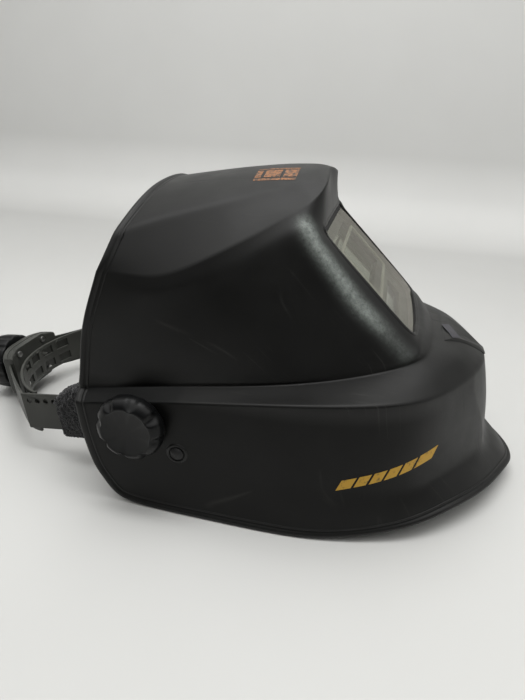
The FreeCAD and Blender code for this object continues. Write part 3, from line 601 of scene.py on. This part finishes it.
# ------------------------------------------------------------------ finishes of the carried-over pieces
def steel():
    made = Finish("steel", Metallic=1.0, Roughness=0.3)
    made.set("Base Color", made.ramp(made.noise(80, 5), (0.3, (0.5, 0.5, 0.5)), (0.7, (0.62, 0.62, 0.6))))
    made.bump(made.noise(900, 2), 0.08, 0.0001)
    return made


def glass(name, tint, rough=0.02):
    """A thin clear sheet: what lies behind, tinted, under the gloss of its outer face."""
    made = Finish(name)
    clear = made.node("BsdfTransparent")
    clear.inputs["Color"].default_value = (*tint, 1)
    gloss = made.node("BsdfGlossy")
    gloss.inputs["Color"].default_value = (0.84, 0.81, 0.74, 1)
    made.link(made.ramp(made.noise(30, 4), (0.3, rough), (0.7, rough + 0.02)), gloss.inputs["Roughness"])
    fresnel = made.node("Fresnel")
    fresnel.inputs["IOR"].default_value = 1.6
    both = made.node("MixShader")
    outer_face = made.math("SUBTRACT", 1.0, made.node("NewGeometry").outputs["Backfacing"])
    made.link(made.math("MULTIPLY", fresnel.outputs["Fac"], outer_face), both.inputs[0])
    made.link(clear.outputs[0], both.inputs[1])
    made.link(gloss.outputs[0], both.inputs[2])
    made.link(both.outputs[0], made.tree.nodes["Material Output"].inputs["Surface"])
    return made


def filter_glass():
    made = Finish("filter_glass", Metallic=0.0, Roughness=0.05, Coat_Weight=1.0)
    cloud = made.noise(12, 3)
    made.set("Base Color", made.ramp(cloud, (0.3, (0.012, 0.022, 0.012)), (0.7, (0.02, 0.032, 0.018))))
    made.set("Roughness", made.ramp(made.noise(40, 4), (0.3, 0.03), (0.7, 0.07)))
    return made


def solar():
    made = Finish("solar_cell", Roughness=0.2, Coat_Weight=0.6)
    wave = made.node("TexWave", wave_type="BANDS")
    wave.inputs["Scale"].default_value = 40
    made.link(made.place(), wave.inputs["Vector"])
    bands = wave.outputs["Fac"]
    made.set("Base Color", made.ramp(bands, (0.05, (0.2, 0.2, 0.22)), (0.12, (0.01, 0.012, 0.03))))
    return made


def board():
    made = Finish("circuit_board", Roughness=0.4)
    weave = made.noise(200, 2)
    made.set("Base Color", made.ramp(weave, (0.45, (0.01, 0.09, 0.03)), (0.55, (0.015, 0.13, 0.05))))
    return made


def towelling():
    made = Finish("sleeve_cloth", Roughness=0.95)
    made.set("Sheen Weight", 0.25)
    made.set("Sheen Roughness", 0.5)
    tufts = made.noise(900, 5, 0.7)
    made.set("Base Color", made.ramp(tufts, (0.35, (0.0025, 0.0025, 0.003)), (0.7, (0.016, 0.016, 0.018))))
    made.bump(tufts, 1.0, 0.0012)
    made.bump(made.noise(2600, 3), 0.6, 0.0004)
    return made


def sweat_cloth():
    made = Finish("sweatband", Roughness=0.85)
    made.set("Sheen Weight", 0.2)
    wave = made.node("TexWave", wave_type="BANDS", bands_direction="DIAGONAL")
    wave.inputs["Scale"].default_value = 700
    made.link(made.place(), wave.inputs["Vector"])
    weave = wave.outputs["Fac"]
    made.set("Base Color", made.ramp(weave, (0.2, (0.008, 0.008, 0.009)), (0.8, (0.02, 0.02, 0.022))))
    made.bump(weave, 0.5, 0.0003)
    return made


# By material slot. The nodes whose looks are PLAIN keep their sharp edges.
FINISHES = {
    "knob_plastic": plastic("knob_plastic", (0.0036, 0.0038, 0.0040), 0.32, specular=0.25),
    "band_plastic": plastic("band_plastic", (0.042, 0.043, 0.038), 0.42),
    "black_plastic": plastic("black_plastic", (0.013, 0.013, 0.013), 0.45),
    "cartridge_plastic": plastic("cartridge_plastic", (0.02, 0.02, 0.021), 0.4),
    "control_plastic": plastic("control_plastic", (0.035, 0.035, 0.036), 0.38),
    "test_button": plastic("test_button", (0.35, 0.05, 0.03), 0.35),
    "black_rubber": plastic("black_rubber", (0.012, 0.012, 0.012), 0.7),
    "steel": steel(),
    "clear_lens": glass("clear_lens", (0.9, 0.92, 0.88)),
    "filter_glass": filter_glass(),
    "sensor_window": filter_glass(),
    "solar_cell": solar(),
    "circuit_board": board(),
    "sleeve_cloth": towelling(),
    "sweatband": sweat_cloth(),
}
PLAIN = ("clear_lens", "filter_glass", "solar_cell")
WELD_REACH = 0.00002


def dress(mesh, finish):
    mesh.materials.clear()
    mesh.materials.append(finish.mat)


for entry in frame["record"]["subparts"]:
    node, slot = frame["nodes"][entry["node"]], entry["material_slot"]
    if slot not in FINISHES:
        continue
    dress(node.data, FINISHES[slot])
    if slot not in PLAIN:
        node.modifiers.new("joined", "WELD").merge_threshold = WELD_REACH
        ease_edges(node, width=0.0004, segments=2, degrees=38).harden_normals = True

# ------------------------------------------------------------------ hand knobs
STEPS_PER_LOBE = 16
SCOOP_POWER = 1.4  # above 1, the scoops are narrower than the lobes between them


def knob_mesh(name, centre, axis, start, lobes, rings, finish):
    """A scooped hand knob: each ring is (height along the axis, radius, depth of the scoops), in mm, and the
    first lobe is turned by start."""
    axis = Vector(axis).normalized()
    across = axis.cross(Vector((0, 0, 1))).normalized()
    over = across.cross(axis)
    around = lobes * STEPS_PER_LOBE
    circles = []
    for height, radius, depth in rings:
        circles.append([])
        for i in range(around):
            turn = 2 * math.pi * i / around + start
            scoop = max(0.0, math.cos(lobes * (turn - start))) ** SCOOP_POWER
            reach = (radius - depth * scoop) / 1000
            circles[-1].append(centre + axis * (height / 1000) + across * (reach * math.cos(turn)) +
                               over * (reach * math.sin(turn)))
    made = mesh_object(name, *capped(circles), finish)
    turn_normals_out(made)
    return made


KNOB_RINGS = [
    (-6.0, 20.0, 0.3), (-5.8, 21.6, 0.4), (-4.6, 22.2, 0.6), (-1.0, 22.4, 1.3), (1.4, 21.9, 2.2),
    (3.4, 20.6, 2.7), (4.9, 18.9, 2.2), (5.7, 17.6, 1.3), (5.95, 16.8, 0.7), (5.75, 16.1, 0.3),
    (5.5, 15.4, 0.0), (5.5, 1.0, 0.0)]
KNOB_LOBES, KNOB_START = 8, 0.2
for side, word in ((-1, "right"), (1, "left")):
    low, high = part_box("side_knob_" + word)
    middle = (low + high) / 2
    knob = knob_mesh("clamp_knob_" + word, middle, (0, side, 0), KNOB_START, KNOB_LOBES, KNOB_RINGS,
                     FINISHES["knob_plastic"])
    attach(knob, "knob_" + word)
    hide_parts("side_knob_" + word)

DIAL_RINGS = [
    (-9.4, 22.4, 0.2), (-9.2, 23.6, 0.4), (-8.0, 24.4, 0.9), (2.0, 24.6, 1.3), (6.5, 24.0, 1.5),
    (8.6, 22.8, 1.5), (9.6, 21.0, 1.1), (10.0, 19.0, 0.6), (10.0, 14.0, 0.0), (9.5, 13.2, 0.0),
    (9.4, 3.2, 0.0), (8.6, 2.8, 0.0), (8.6, 0.6, 0.0)]
DIAL_LOBES, DIAL_START = 12, 0.1
DIAL_X, DIAL_Z = -188, -19  # the middle of the dial, along the band
backward = gear(-1, 0, 0) - gear(0, 0, 0)
dial = knob_mesh("ratchet_dial_grip", gear(DIAL_X, 0, DIAL_Z), backward, DIAL_START, DIAL_LOBES, DIAL_RINGS,
                 FINISHES["knob_plastic"])
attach(dial, "ratchet_dial")
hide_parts("ratchet_knob")

# ------------------------------------------------------------------ ratchet case
# Half plan of the case from its middle: y, outer face, inner face, half height.
CASE = [
    (0, -178.6, -163.7, 19.6), (8, -178.4, -163.7, 19.6), (15, -177.4, -163.5, 19.4),
    (21, -175.2, -162.9, 19.0), (26, -172.6, -161.5, 18.4), (29.6, -170.2, -159.7, 17.4),
    (31.2, -168.4, -158.6, 16.4)]
# Its section, as shares of the depth and of the half height, with a groove where its two halves join.
CASE_SECTION = [
    (0, -0.80), (0, 0.80), (0.05, 0.92), (0.16, 1.0), (0.47, 1.0), (0.49, 0.945), (0.55, 0.945),
    (0.57, 1.0), (0.88, 1.0), (0.97, 0.95), (1.0, 0.85), (1.0, -0.85), (0.97, -0.95), (0.88, -1.0),
    (0.57, -1.0), (0.55, -0.945), (0.49, -0.945), (0.47, -1.0), (0.16, -1.0), (0.05, -0.92)]
case_rings = [[gear(outer + (inner - outer) * d, y, DIAL_Z + half * h) for d, h in CASE_SECTION]
              for y, outer, inner, half in [(-y, *rest) for y, *rest in CASE[:0:-1]] + CASE]
case = mesh_object("ratchet_case", *capped(case_rings), FINISHES["band_plastic"])
turn_normals_out(case)
ease_edges(case, width=0.0005, segments=2)
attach(case, "rear_adjuster")
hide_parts("ratchet_housing")

# ------------------------------------------------------------------ marks and small mouldings on the shell
skin = BVHTree.FromObject(shell, bpy.context.evaluated_depsgraph_get())
INWARDS_FROM_RIGHT, DOWNWARDS = Vector((0, 1, 0)), Vector((0, 0, -1))
MARK_STEP = 1.2


def printed(name, outline, start, along, finish, lift=0.00012):
    """A thin printed shape on the skin. start places its corners, each two measures in mm, away from the
    shell, and they are thrown onto it along a direction."""
    a, b, c, d = [np.array(q, float) for q in outline]
    across = max(2, int(np.linalg.norm(b - a) / MARK_STEP))
    down = max(2, int(np.linalg.norm(d - a) / MARK_STEP))
    points, faces = [], []
    for i in range(down + 1):
        for j in range(across + 1):
            u, v = j / across, i / down
            flat = (a * (1 - u) + b * u) * (1 - v) + (d * (1 - u) + c * u) * v
            hit, normal, _, _ = skin.ray_cast(start(*flat), along)
            points.append(hit + normal * lift)
    for i in range(down):
        for j in range(across):
            k = i * (across + 1) + j
            faces.append((k, k + 1, k + across + 2, k + across + 1))
    made = mesh_object(name, points, faces, finish)
    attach(made, "shell")


amber = Finish("amber_print", Roughness=0.5)
rubbed = amber.ramp(amber.noise(260, 6, 0.7), (0.30, (0.16, 0.09, 0.01)), (0.46, (0.55, 0.31, 0.02)))
amber.set("Base Color", rubbed)
amber.bump(amber.noise(500, 3), 0.1, 0.0001)


def beside_jaw(x, z):
    return at(x, -200, z)


def above(x, y):
    return at(x, y, 300)


# The jaw's bars: rear edge and width, on a line that climbs to the front; each leans forward at its top.
BARS = [(-37.0, 9.0), (-26.4, 7.4), (-17.4, 7.4), (-8.4, 7.4), (0.6, 7.4), (9.6, 11.0)]
BAR_LOW, BAR_HIGH, BAR_CLIMB, BAR_LEAN = 38.6, 46.4, 0.25, 3.0
for k, (x, wide) in enumerate(BARS):
    forward_by = x - BARS[0][0]
    low_z, high_z = BAR_LOW + forward_by * 0.245, BAR_HIGH + forward_by * 0.255
    rise = wide * BAR_CLIMB
    bar = [(x, low_z), (x + wide, low_z + rise), (x + wide + BAR_LEAN, high_z + rise), (x + BAR_LEAN, high_z)]
    printed("jaw_mark_%d" % k, bar, beside_jaw, INWARDS_FROM_RIGHT, amber)

# The crown's blocks: rear, front, and the two sides.
BLOCKS = [(-116, -88, -15, -17.5), (-116, -112, -19, -30), (-110, -99, -19, -30), (-97, -88, -19, -30),
          (-116, -88, -31.5, -34)]
label = Finish("crown_label", Roughness=0.55)
label_wear = label.ramp(label.noise(420, 8, 0.75), (0.42, (0.035, 0.03, 0.026)), (0.56, (0.30, 0.125, 0.045)))
label.set("Base Color", label_wear)
label.bump(label.noise(300, 3), 0.1, 0.0001)
for k, (x0, x1, y0, y1) in enumerate(BLOCKS):
    printed("crown_mark_%d" % k, [(x0, y0), (x1, y0), (x1, y1), (x0, y1)], above, DOWNWARDS, label)


def above_deck(x, y):
    return at(x, y, 130)


# The raised panel in the middle of the deck, wide at the rear and running forward to a blunt tip. Its three
# rings, from the foot up: rear x, front x, half width at the rear and at the front, height over the skin.
DECK_PANEL = [(21.0, 55.0, 27.0, 7.0, -0.6), (23.0, 53.4, 25.0, 5.6, 0.6), (27.5, 51.0, 21.5, 3.6, 1.3)]
PANEL_REAR_STEPS, PANEL_SIDE_STEPS, PANEL_FRONT_STEPS = 14, 12, 4
SKIN_READ_TO = 53.0  # further forward, the deck falls away at the ridge


def deck_panel():
    rings = []
    for rear, front, a, b, lift in DECK_PANEL:
        back, sides, tip = PANEL_REAR_STEPS, PANEL_SIDE_STEPS, PANEL_FRONT_STEPS
        line = [(rear, -a + 2 * a * i / back) for i in range(back + 1)]
        line += [(rear + (front - rear) * i / sides, a + (b - a) * i / sides) for i in range(1, sides + 1)]
        line += [(front, b - 2 * b * i / tip) for i in range(1, tip + 1)]
        line += [(front + (rear - front) * i / sides, -b + (b - a) * i / sides) for i in range(1, sides)]
        heights = [skin.ray_cast(above_deck(min(x, SKIN_READ_TO), y), DOWNWARDS)[0].z * 1000 for x, y in line]
        rings.append([at(x, y, z + lift) for (x, y), z in zip(line, heights)])
    points, faces = sweep(rings, closed=False)
    faces.append(tuple(range(len(points) - len(line), len(points))))
    made = mesh_object("deck_panel", points, faces, shell_look, smooth=False)
    turn_normals_out(made)
    ease_edges(made, width=0.0008, segments=3, degrees=12)
    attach(made, "shell")


deck_panel()
# A lighter flat patch laid on the panel's near rear slope: a painted highlight, for light falling on that
# facet.
deck_highlight_look = plastic("deck_painted_highlight", (0.030, 0.029, 0.035), 0.4)
printed("deck_painted_highlight", [(21.3, 0.3), (27.3, 4.3), (34.1, -14.2), (28.1, -19.7)], above_deck, DOWNWARDS, deck_highlight_look,
        lift=0.0015)

# The moulded ring round the stop pin: its section is (radius, height over the skin). The skin is read on a
# circle of COLLAR_READ_AT metres, from well to the right of the shell.
COLLAR = [(5.0, -1.5), (5.0, 0.1), (5.5, 0.7), (6.3, 0.8), (7.2, 0.3), (7.8, -0.6)]
COLLAR_STEPS, COLLAR_READ_AT = 48, 0.0066
pin_low, pin_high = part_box("stop_pin")
pin = (pin_low + pin_high) / 2
from_right = Vector((pin.x, -0.2, pin.z))
collar_rings = []
for k in range(COLLAR_STEPS):
    turn = 2 * math.pi * k / COLLAR_STEPS
    out = Vector((math.cos(turn), 0, math.sin(turn)))
    base = skin.ray_cast(from_right + out * COLLAR_READ_AT, INWARDS_FROM_RIGHT)[0].y
    collar_rings.append([Vector((pin.x + out.x * r / 1000, base - h / 1000, pin.z + out.z * r / 1000))
                         for r, h in COLLAR])
collar = mesh_object("pin_collar", *sweep(collar_rings), shell_look)
turn_normals_out(collar)
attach(collar, "shell")

# ------------------------------------------------------------------ front of the window
# The window's plane: u runs down the slope, v to the wearer's left, n out of it.
WINDOW_X, WINDOW_Z, WINDOW_LEAN = -32, 152.5, math.radians(43.6)
CORNER_STEPS, LOWER_EDGE_STEPS = 8, 12


def window(u, v, n):
    return at(WINDOW_X + u * math.cos(WINDOW_LEAN) + n * math.sin(WINDOW_LEAN), v,
              WINDOW_Z - u * math.sin(WINDOW_LEAN) + n * math.cos(WINDOW_LEAN))


def rounded_loop(half_u, half_v, radius, centre_u, bow):
    """A rounded outline in the window's plane; bow is how far its lower edge swells in the middle."""
    loop = []
    for k, (su, sv) in enumerate([(1, 1), (-1, 1), (-1, -1), (1, -1)]):
        for i in range(CORNER_STEPS + 1):
            turn = math.radians(90 * (k + i / CORNER_STEPS))
            loop.append((centre_u + su * (half_u - radius) + radius * math.cos(turn),
                         sv * (half_v - radius) + radius * math.sin(turn)))
    for i in range(1, LOWER_EDGE_STEPS):
        loop.append((centre_u + half_u, (half_v - radius) * (2 * i / LOWER_EDGE_STEPS - 1)))
    return [(u + bow * (1 - (v / half_v) ** 2) * (u > centre_u), v) for u, v in loop]


def stepped(name, levels, finish, centre_u, bow=0.0, open_middle=False):
    """A stack of rounded outlines, each (half u, half v, radius, n), joined ring to ring."""
    rings = [[window(u, v, n) for u, v in rounded_loop(half_u, half_v, radius, centre_u, bow)]
             for half_u, half_v, radius, n in levels]
    points, faces = sweep(rings) if open_middle else capped(rings)
    made = mesh_object(name, points, faces, finish, smooth=False)
    turn_normals_out(made)
    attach(made, "shell")
    return made


LENS_U, LENS_BOW = -1.2, 2.6
LENS = [(43.3, 52.4, 8.0, -1.1), (43.3, 52.4, 8.0, 0.0), (43.0, 52.1, 7.8, 0.25)]
# The seal has a skirt round the cartridge, a flange under the shell and a bead round the lens.
SEAL = [
    (49.0, 58.0, 12.0, -8.6), (49.0, 58.0, 12.0, -3.7), (44.4, 53.4, 8.6, -3.5), (44.4, 53.4, 8.6, 0.2),
    (43.9, 52.9, 8.3, 0.45), (43.45, 52.55, 8.1, 0.2), (43.4, 52.5, 8.1, -4.95), (46.5, 55.4, 5.0, -4.95),
    (46.5, 55.4, 5.0, -8.6)]
TOP_SEAL_U = -47.6
TOP_SEAL = [(2.3, 51.0, 1.0, -4.6), (2.3, 51.0, 1.0, 0.1), (2.0, 50.6, 0.8, 0.35)]
BEZEL_U = -8.0
BEZEL_EDGE = [
    (21.0, 42.5, 2.0, -2.6), (21.0, 42.5, 2.0, -1.4), (19.0, 39.0, 1.0, -1.4), (19.0, 39.0, 1.0, -2.6)]

lens = stepped("raised_lens", LENS, FINISHES["clear_lens"], LENS_U, LENS_BOW)
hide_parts("cover_lens")
seal = stepped("window_seal", SEAL, FINISHES["black_rubber"], LENS_U, LENS_BOW, open_middle=True)
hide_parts("lens_gasket")
top_seal = stepped("window_seal_top", TOP_SEAL, FINISHES["black_rubber"], TOP_SEAL_U)
bezel_look = plastic("bezel_edge", (0.20, 0.195, 0.175), 0.5)
edge = stepped("bezel_edge", BEZEL_EDGE, bezel_look, BEZEL_U, open_middle=True)

# ------------------------------------------------------------------ soft pieces
CLOTH_FRAMES = 20
LONGEST_MOVE = 0.0022


def filled_out(obj, voxel, pressure):
    """An even mesh, then a short cloth run with air inside."""
    even = obj.modifiers.new("even", "REMESH")
    even.mode = "VOXEL"
    even.voxel_size = voxel
    settle(obj)
    where = coords(obj.data)
    cloth = obj.modifiers.new("cloth", "CLOTH")
    settings = cloth.settings
    settings.quality = 6
    settings.mass = 0.2
    settings.tension_stiffness = 22
    settings.compression_stiffness = 22
    settings.shear_stiffness = 10
    settings.bending_stiffness = 0.6
    settings.use_pressure = True
    settings.uniform_pressure_force = pressure
    settings.effector_weights.gravity = 0
    cloth.collision_settings.use_collision = False
    cloth.collision_settings.use_self_collision = False
    cloth.point_cache.frame_start = 1
    cloth.point_cache.frame_end = CLOTH_FRAMES
    for tick in range(1, CLOTH_FRAMES + 1):
        scene.frame_set(tick)
    settle(obj)
    scene.frame_set(1)
    moved = held_back(coords(obj.data) - where, LONGEST_MOVE)
    obj.data.vertices.foreach_set("co", (where + moved).ravel())


def pile(obj, depth, scale):
    """Looped pile: uneven tufts pushed out along the surface, and a broader unevenness under them."""
    subdivide(obj, levels=2)
    settle(obj)
    normals = np.array([v.normal for v in obj.data.vertices])
    where = coords(obj.data)
    rise = []
    for q in where:
        spot = Vector(q) * scale
        tufts = noise.noise(spot) + 0.6 * noise.noise(spot * 2.7)
        rise.append(tufts * depth + noise.noise(spot * 0.22) * depth * 0.8)
    obj.data.vertices.foreach_set("co", (where + normals * np.array(rise)[:, None]).ravel())
    shade_smooth(obj)


# Sleeve sections along the band: x, y from the inside to the outside, z from low to high.
SLEEVE = [
    (-83.0, 79.2, 91.0, -36.4, -9.0), (-78.0, 78.7, 91.6, -37.0, -3.0), (-70.0, 78.5, 91.9, -37.2, 2.6),
    (-60.0, 78.5, 92.0, -37.0, 6.4), (-50.0, 78.5, 92.0, -36.8, 7.2), (-46.2, 78.9, 91.6, -36.4, 7.0)]
SLEEVE_RADIUS, SLEEVE_CORNER_STEPS = 3.2, 6


def sleeve_ring(x, y0, y1, z0, z1, side):
    loop = []
    for k, (sy, sz) in enumerate([(1, 1), (-1, 1), (-1, -1), (1, -1)]):
        for i in range(SLEEVE_CORNER_STEPS + 1):
            turn = math.radians(90 * (k + i / SLEEVE_CORNER_STEPS))
            y = (y0 + y1) / 2 + sy * ((y1 - y0) / 2 - SLEEVE_RADIUS) + SLEEVE_RADIUS * math.cos(turn)
            z = (z0 + z1) / 2 + sz * ((z1 - z0) / 2 - SLEEVE_RADIUS) + SLEEVE_RADIUS * math.sin(turn)
            loop.append(gear(x, side * y, z))
    return loop


# The last ring joins back to the first, so that the band can pass through.
for side, word in ((-1, "right"), (1, "left")):
    rings = [sleeve_ring(*section, side) for section in SLEEVE]
    sleeve = mesh_object("towel_sleeve_" + word, *sweep(rings), FINISHES["sleeve_cloth"])
    turn_normals_out(sleeve)
    filled_out(sleeve, voxel=0.0015, pressure=1.5)
    pile(sleeve, depth=0.0009, scale=420)
    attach(sleeve, "headgear")
    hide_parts("side_sleeve_" + word)

pad_node = frame["nodes"]["brow_pad"]
pad = bpy.data.objects.new("soft_brow_pad", pad_node.data.copy())
scene.collection.objects.link(pad)
dress(pad.data, FINISHES["sweatband"])
filled_out(pad, voxel=0.0035, pressure=4.0)
subdivide(pad, levels=1)
shade_smooth(pad)
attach(pad, "headgear")
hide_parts("brow_pad")

# ------------------------------------------------------------------ surroundings
paint = Finish("floor_paint", Roughness=0.55)
apart = paint.node("SeparateXYZ")
paint.link(paint.place(), apart.inputs[0])
behind = paint.math("ADD", apart.outputs["Y"], 0.1)
# Painted shade and light: the floor is painted darker further back, and the wall behind it lighter again.
painted_light_and_shade = paint.ramp(behind, (0.0, 0.98), (0.45, 0.84), (0.78, 0.76), (0.95, 1.12))
cloud = paint.ramp(paint.noise(3, 3), (0.3, (0.545, 0.545, 0.53)), (0.7, (0.57, 0.57, 0.555)))
paint.set("Base Color", paint.mix(1.0, cloud, painted_light_and_shade, "MULTIPLY"))
# The floor curves up into the wall behind: y and z of its section, swept from -HALF_ROOM to HALF_ROOM.
HALF_ROOM = 4
ROOM = [(-3.0, 0.0), (0.62, 0.0), (0.72, 0.006), (0.79, 0.03), (0.84, 0.08), (0.86, 0.16), (0.87, 3.0)]
room_points = [(x, y, z) for y, z in ROOM for x in (-HALF_ROOM, HALF_ROOM)]
room_faces = [(2 * i, 2 * i + 1, 2 * i + 3, 2 * i + 2) for i in range(len(ROOM) - 1)]
floor = mesh_object("floor", room_points, room_faces, paint)

# The room's light comes from above and behind the helmet; the camera itself sees a plain pale grey.
world = bpy.data.worlds.new("room")
scene.world = world
world.use_nodes = True
sky = world.node_tree
direction = sky.nodes.new("ShaderNodeTexCoord")
toward = sky.nodes.new("ShaderNodeVectorMath")
toward.operation = "DOT_PRODUCT"
toward.inputs[1].default_value = (0.05, 0.5, 0.8)
fade = sky.nodes.new("ShaderNodeValToRGB")
for stop, position, colour in zip(fade.color_ramp.elements, (0.05, 0.58),
                                  ((0.02, 0.02, 0.02, 1), (1.0, 1.0, 0.985, 1))):
    stop.position = position
    stop.color = colour
light_path = sky.nodes.new("ShaderNodeLightPath")
pick = sky.nodes.new("ShaderNodeMix")
pick.data_type = "RGBA"
pick.inputs[7].default_value = (0.47, 0.47, 0.46, 1)
background = sky.nodes["Background"]
background.inputs["Strength"].default_value = 1.42
for source, target in (
        (direction.outputs["Generated"], toward.inputs[0]), (toward.outputs["Value"], fade.inputs["Fac"]),
        (light_path.outputs["Is Camera Ray"], pick.inputs[0]), (fade.outputs["Color"], pick.inputs[6]),
        (pick.outputs[2], background.inputs["Color"])):
    sky.links.new(source, target)


def area_light(name, where, aim, size, power):
    """A rectangular lamp of this size in metres and power in watts, turned to face its aim."""
    data = bpy.data.lights.new(name, "AREA")
    data.shape = "RECTANGLE"
    data.size, data.size_y = size
    data.energy = power
    made = bpy.data.objects.new(name, data)
    scene.collection.objects.link(made)
    made.location = where
    made.rotation_euler = (Vector(aim) - Vector(where)).to_track_quat("-Z", "Y").to_euler()
    return made


area_light("overhead", (0.05, 0.25, 1.5), (0, 0.1, 0.1), (1.2, 1.0), 7.5)
wall_light = area_light("on_wall", (0.0, -0.2, 1.9), (0, 0.9, 0.95), (1.8, 0.5), 24)
wall_light.visible_glossy = False

# The photo's camera, as worked out from the floor's vanishing lines: its place in the helmet's millimetres,
# the way it looks, its level direction and its roll.
CAMERA_PLACE = (-31.2, -379.8, 258)
CAMERA_ROLL = math.radians(2.5)
camera_data = bpy.data.cameras.new("camera")
camera = bpy.data.objects.new("camera", camera_data)
scene.collection.objects.link(camera)
forward = Vector((-0.1877, 0.8829, -0.4305)).normalized()
level = Vector((0.9782, 0.2079, 0.0))
raised = level.cross(forward)
across = level * math.cos(CAMERA_ROLL) + raised * math.sin(CAMERA_ROLL)
upward = raised * math.cos(CAMERA_ROLL) - level * math.sin(CAMERA_ROLL)
turned = Matrix((across, upward, -forward)).transposed().to_4x4()
camera.matrix_world = Matrix.Translation(at(*CAMERA_PLACE)) @ turned
camera_data.lens = 27.05
camera_data.sensor_width = 36
camera_data.clip_start = 0.01
scene.camera = camera
scene.view_settings.view_transform = "Standard"
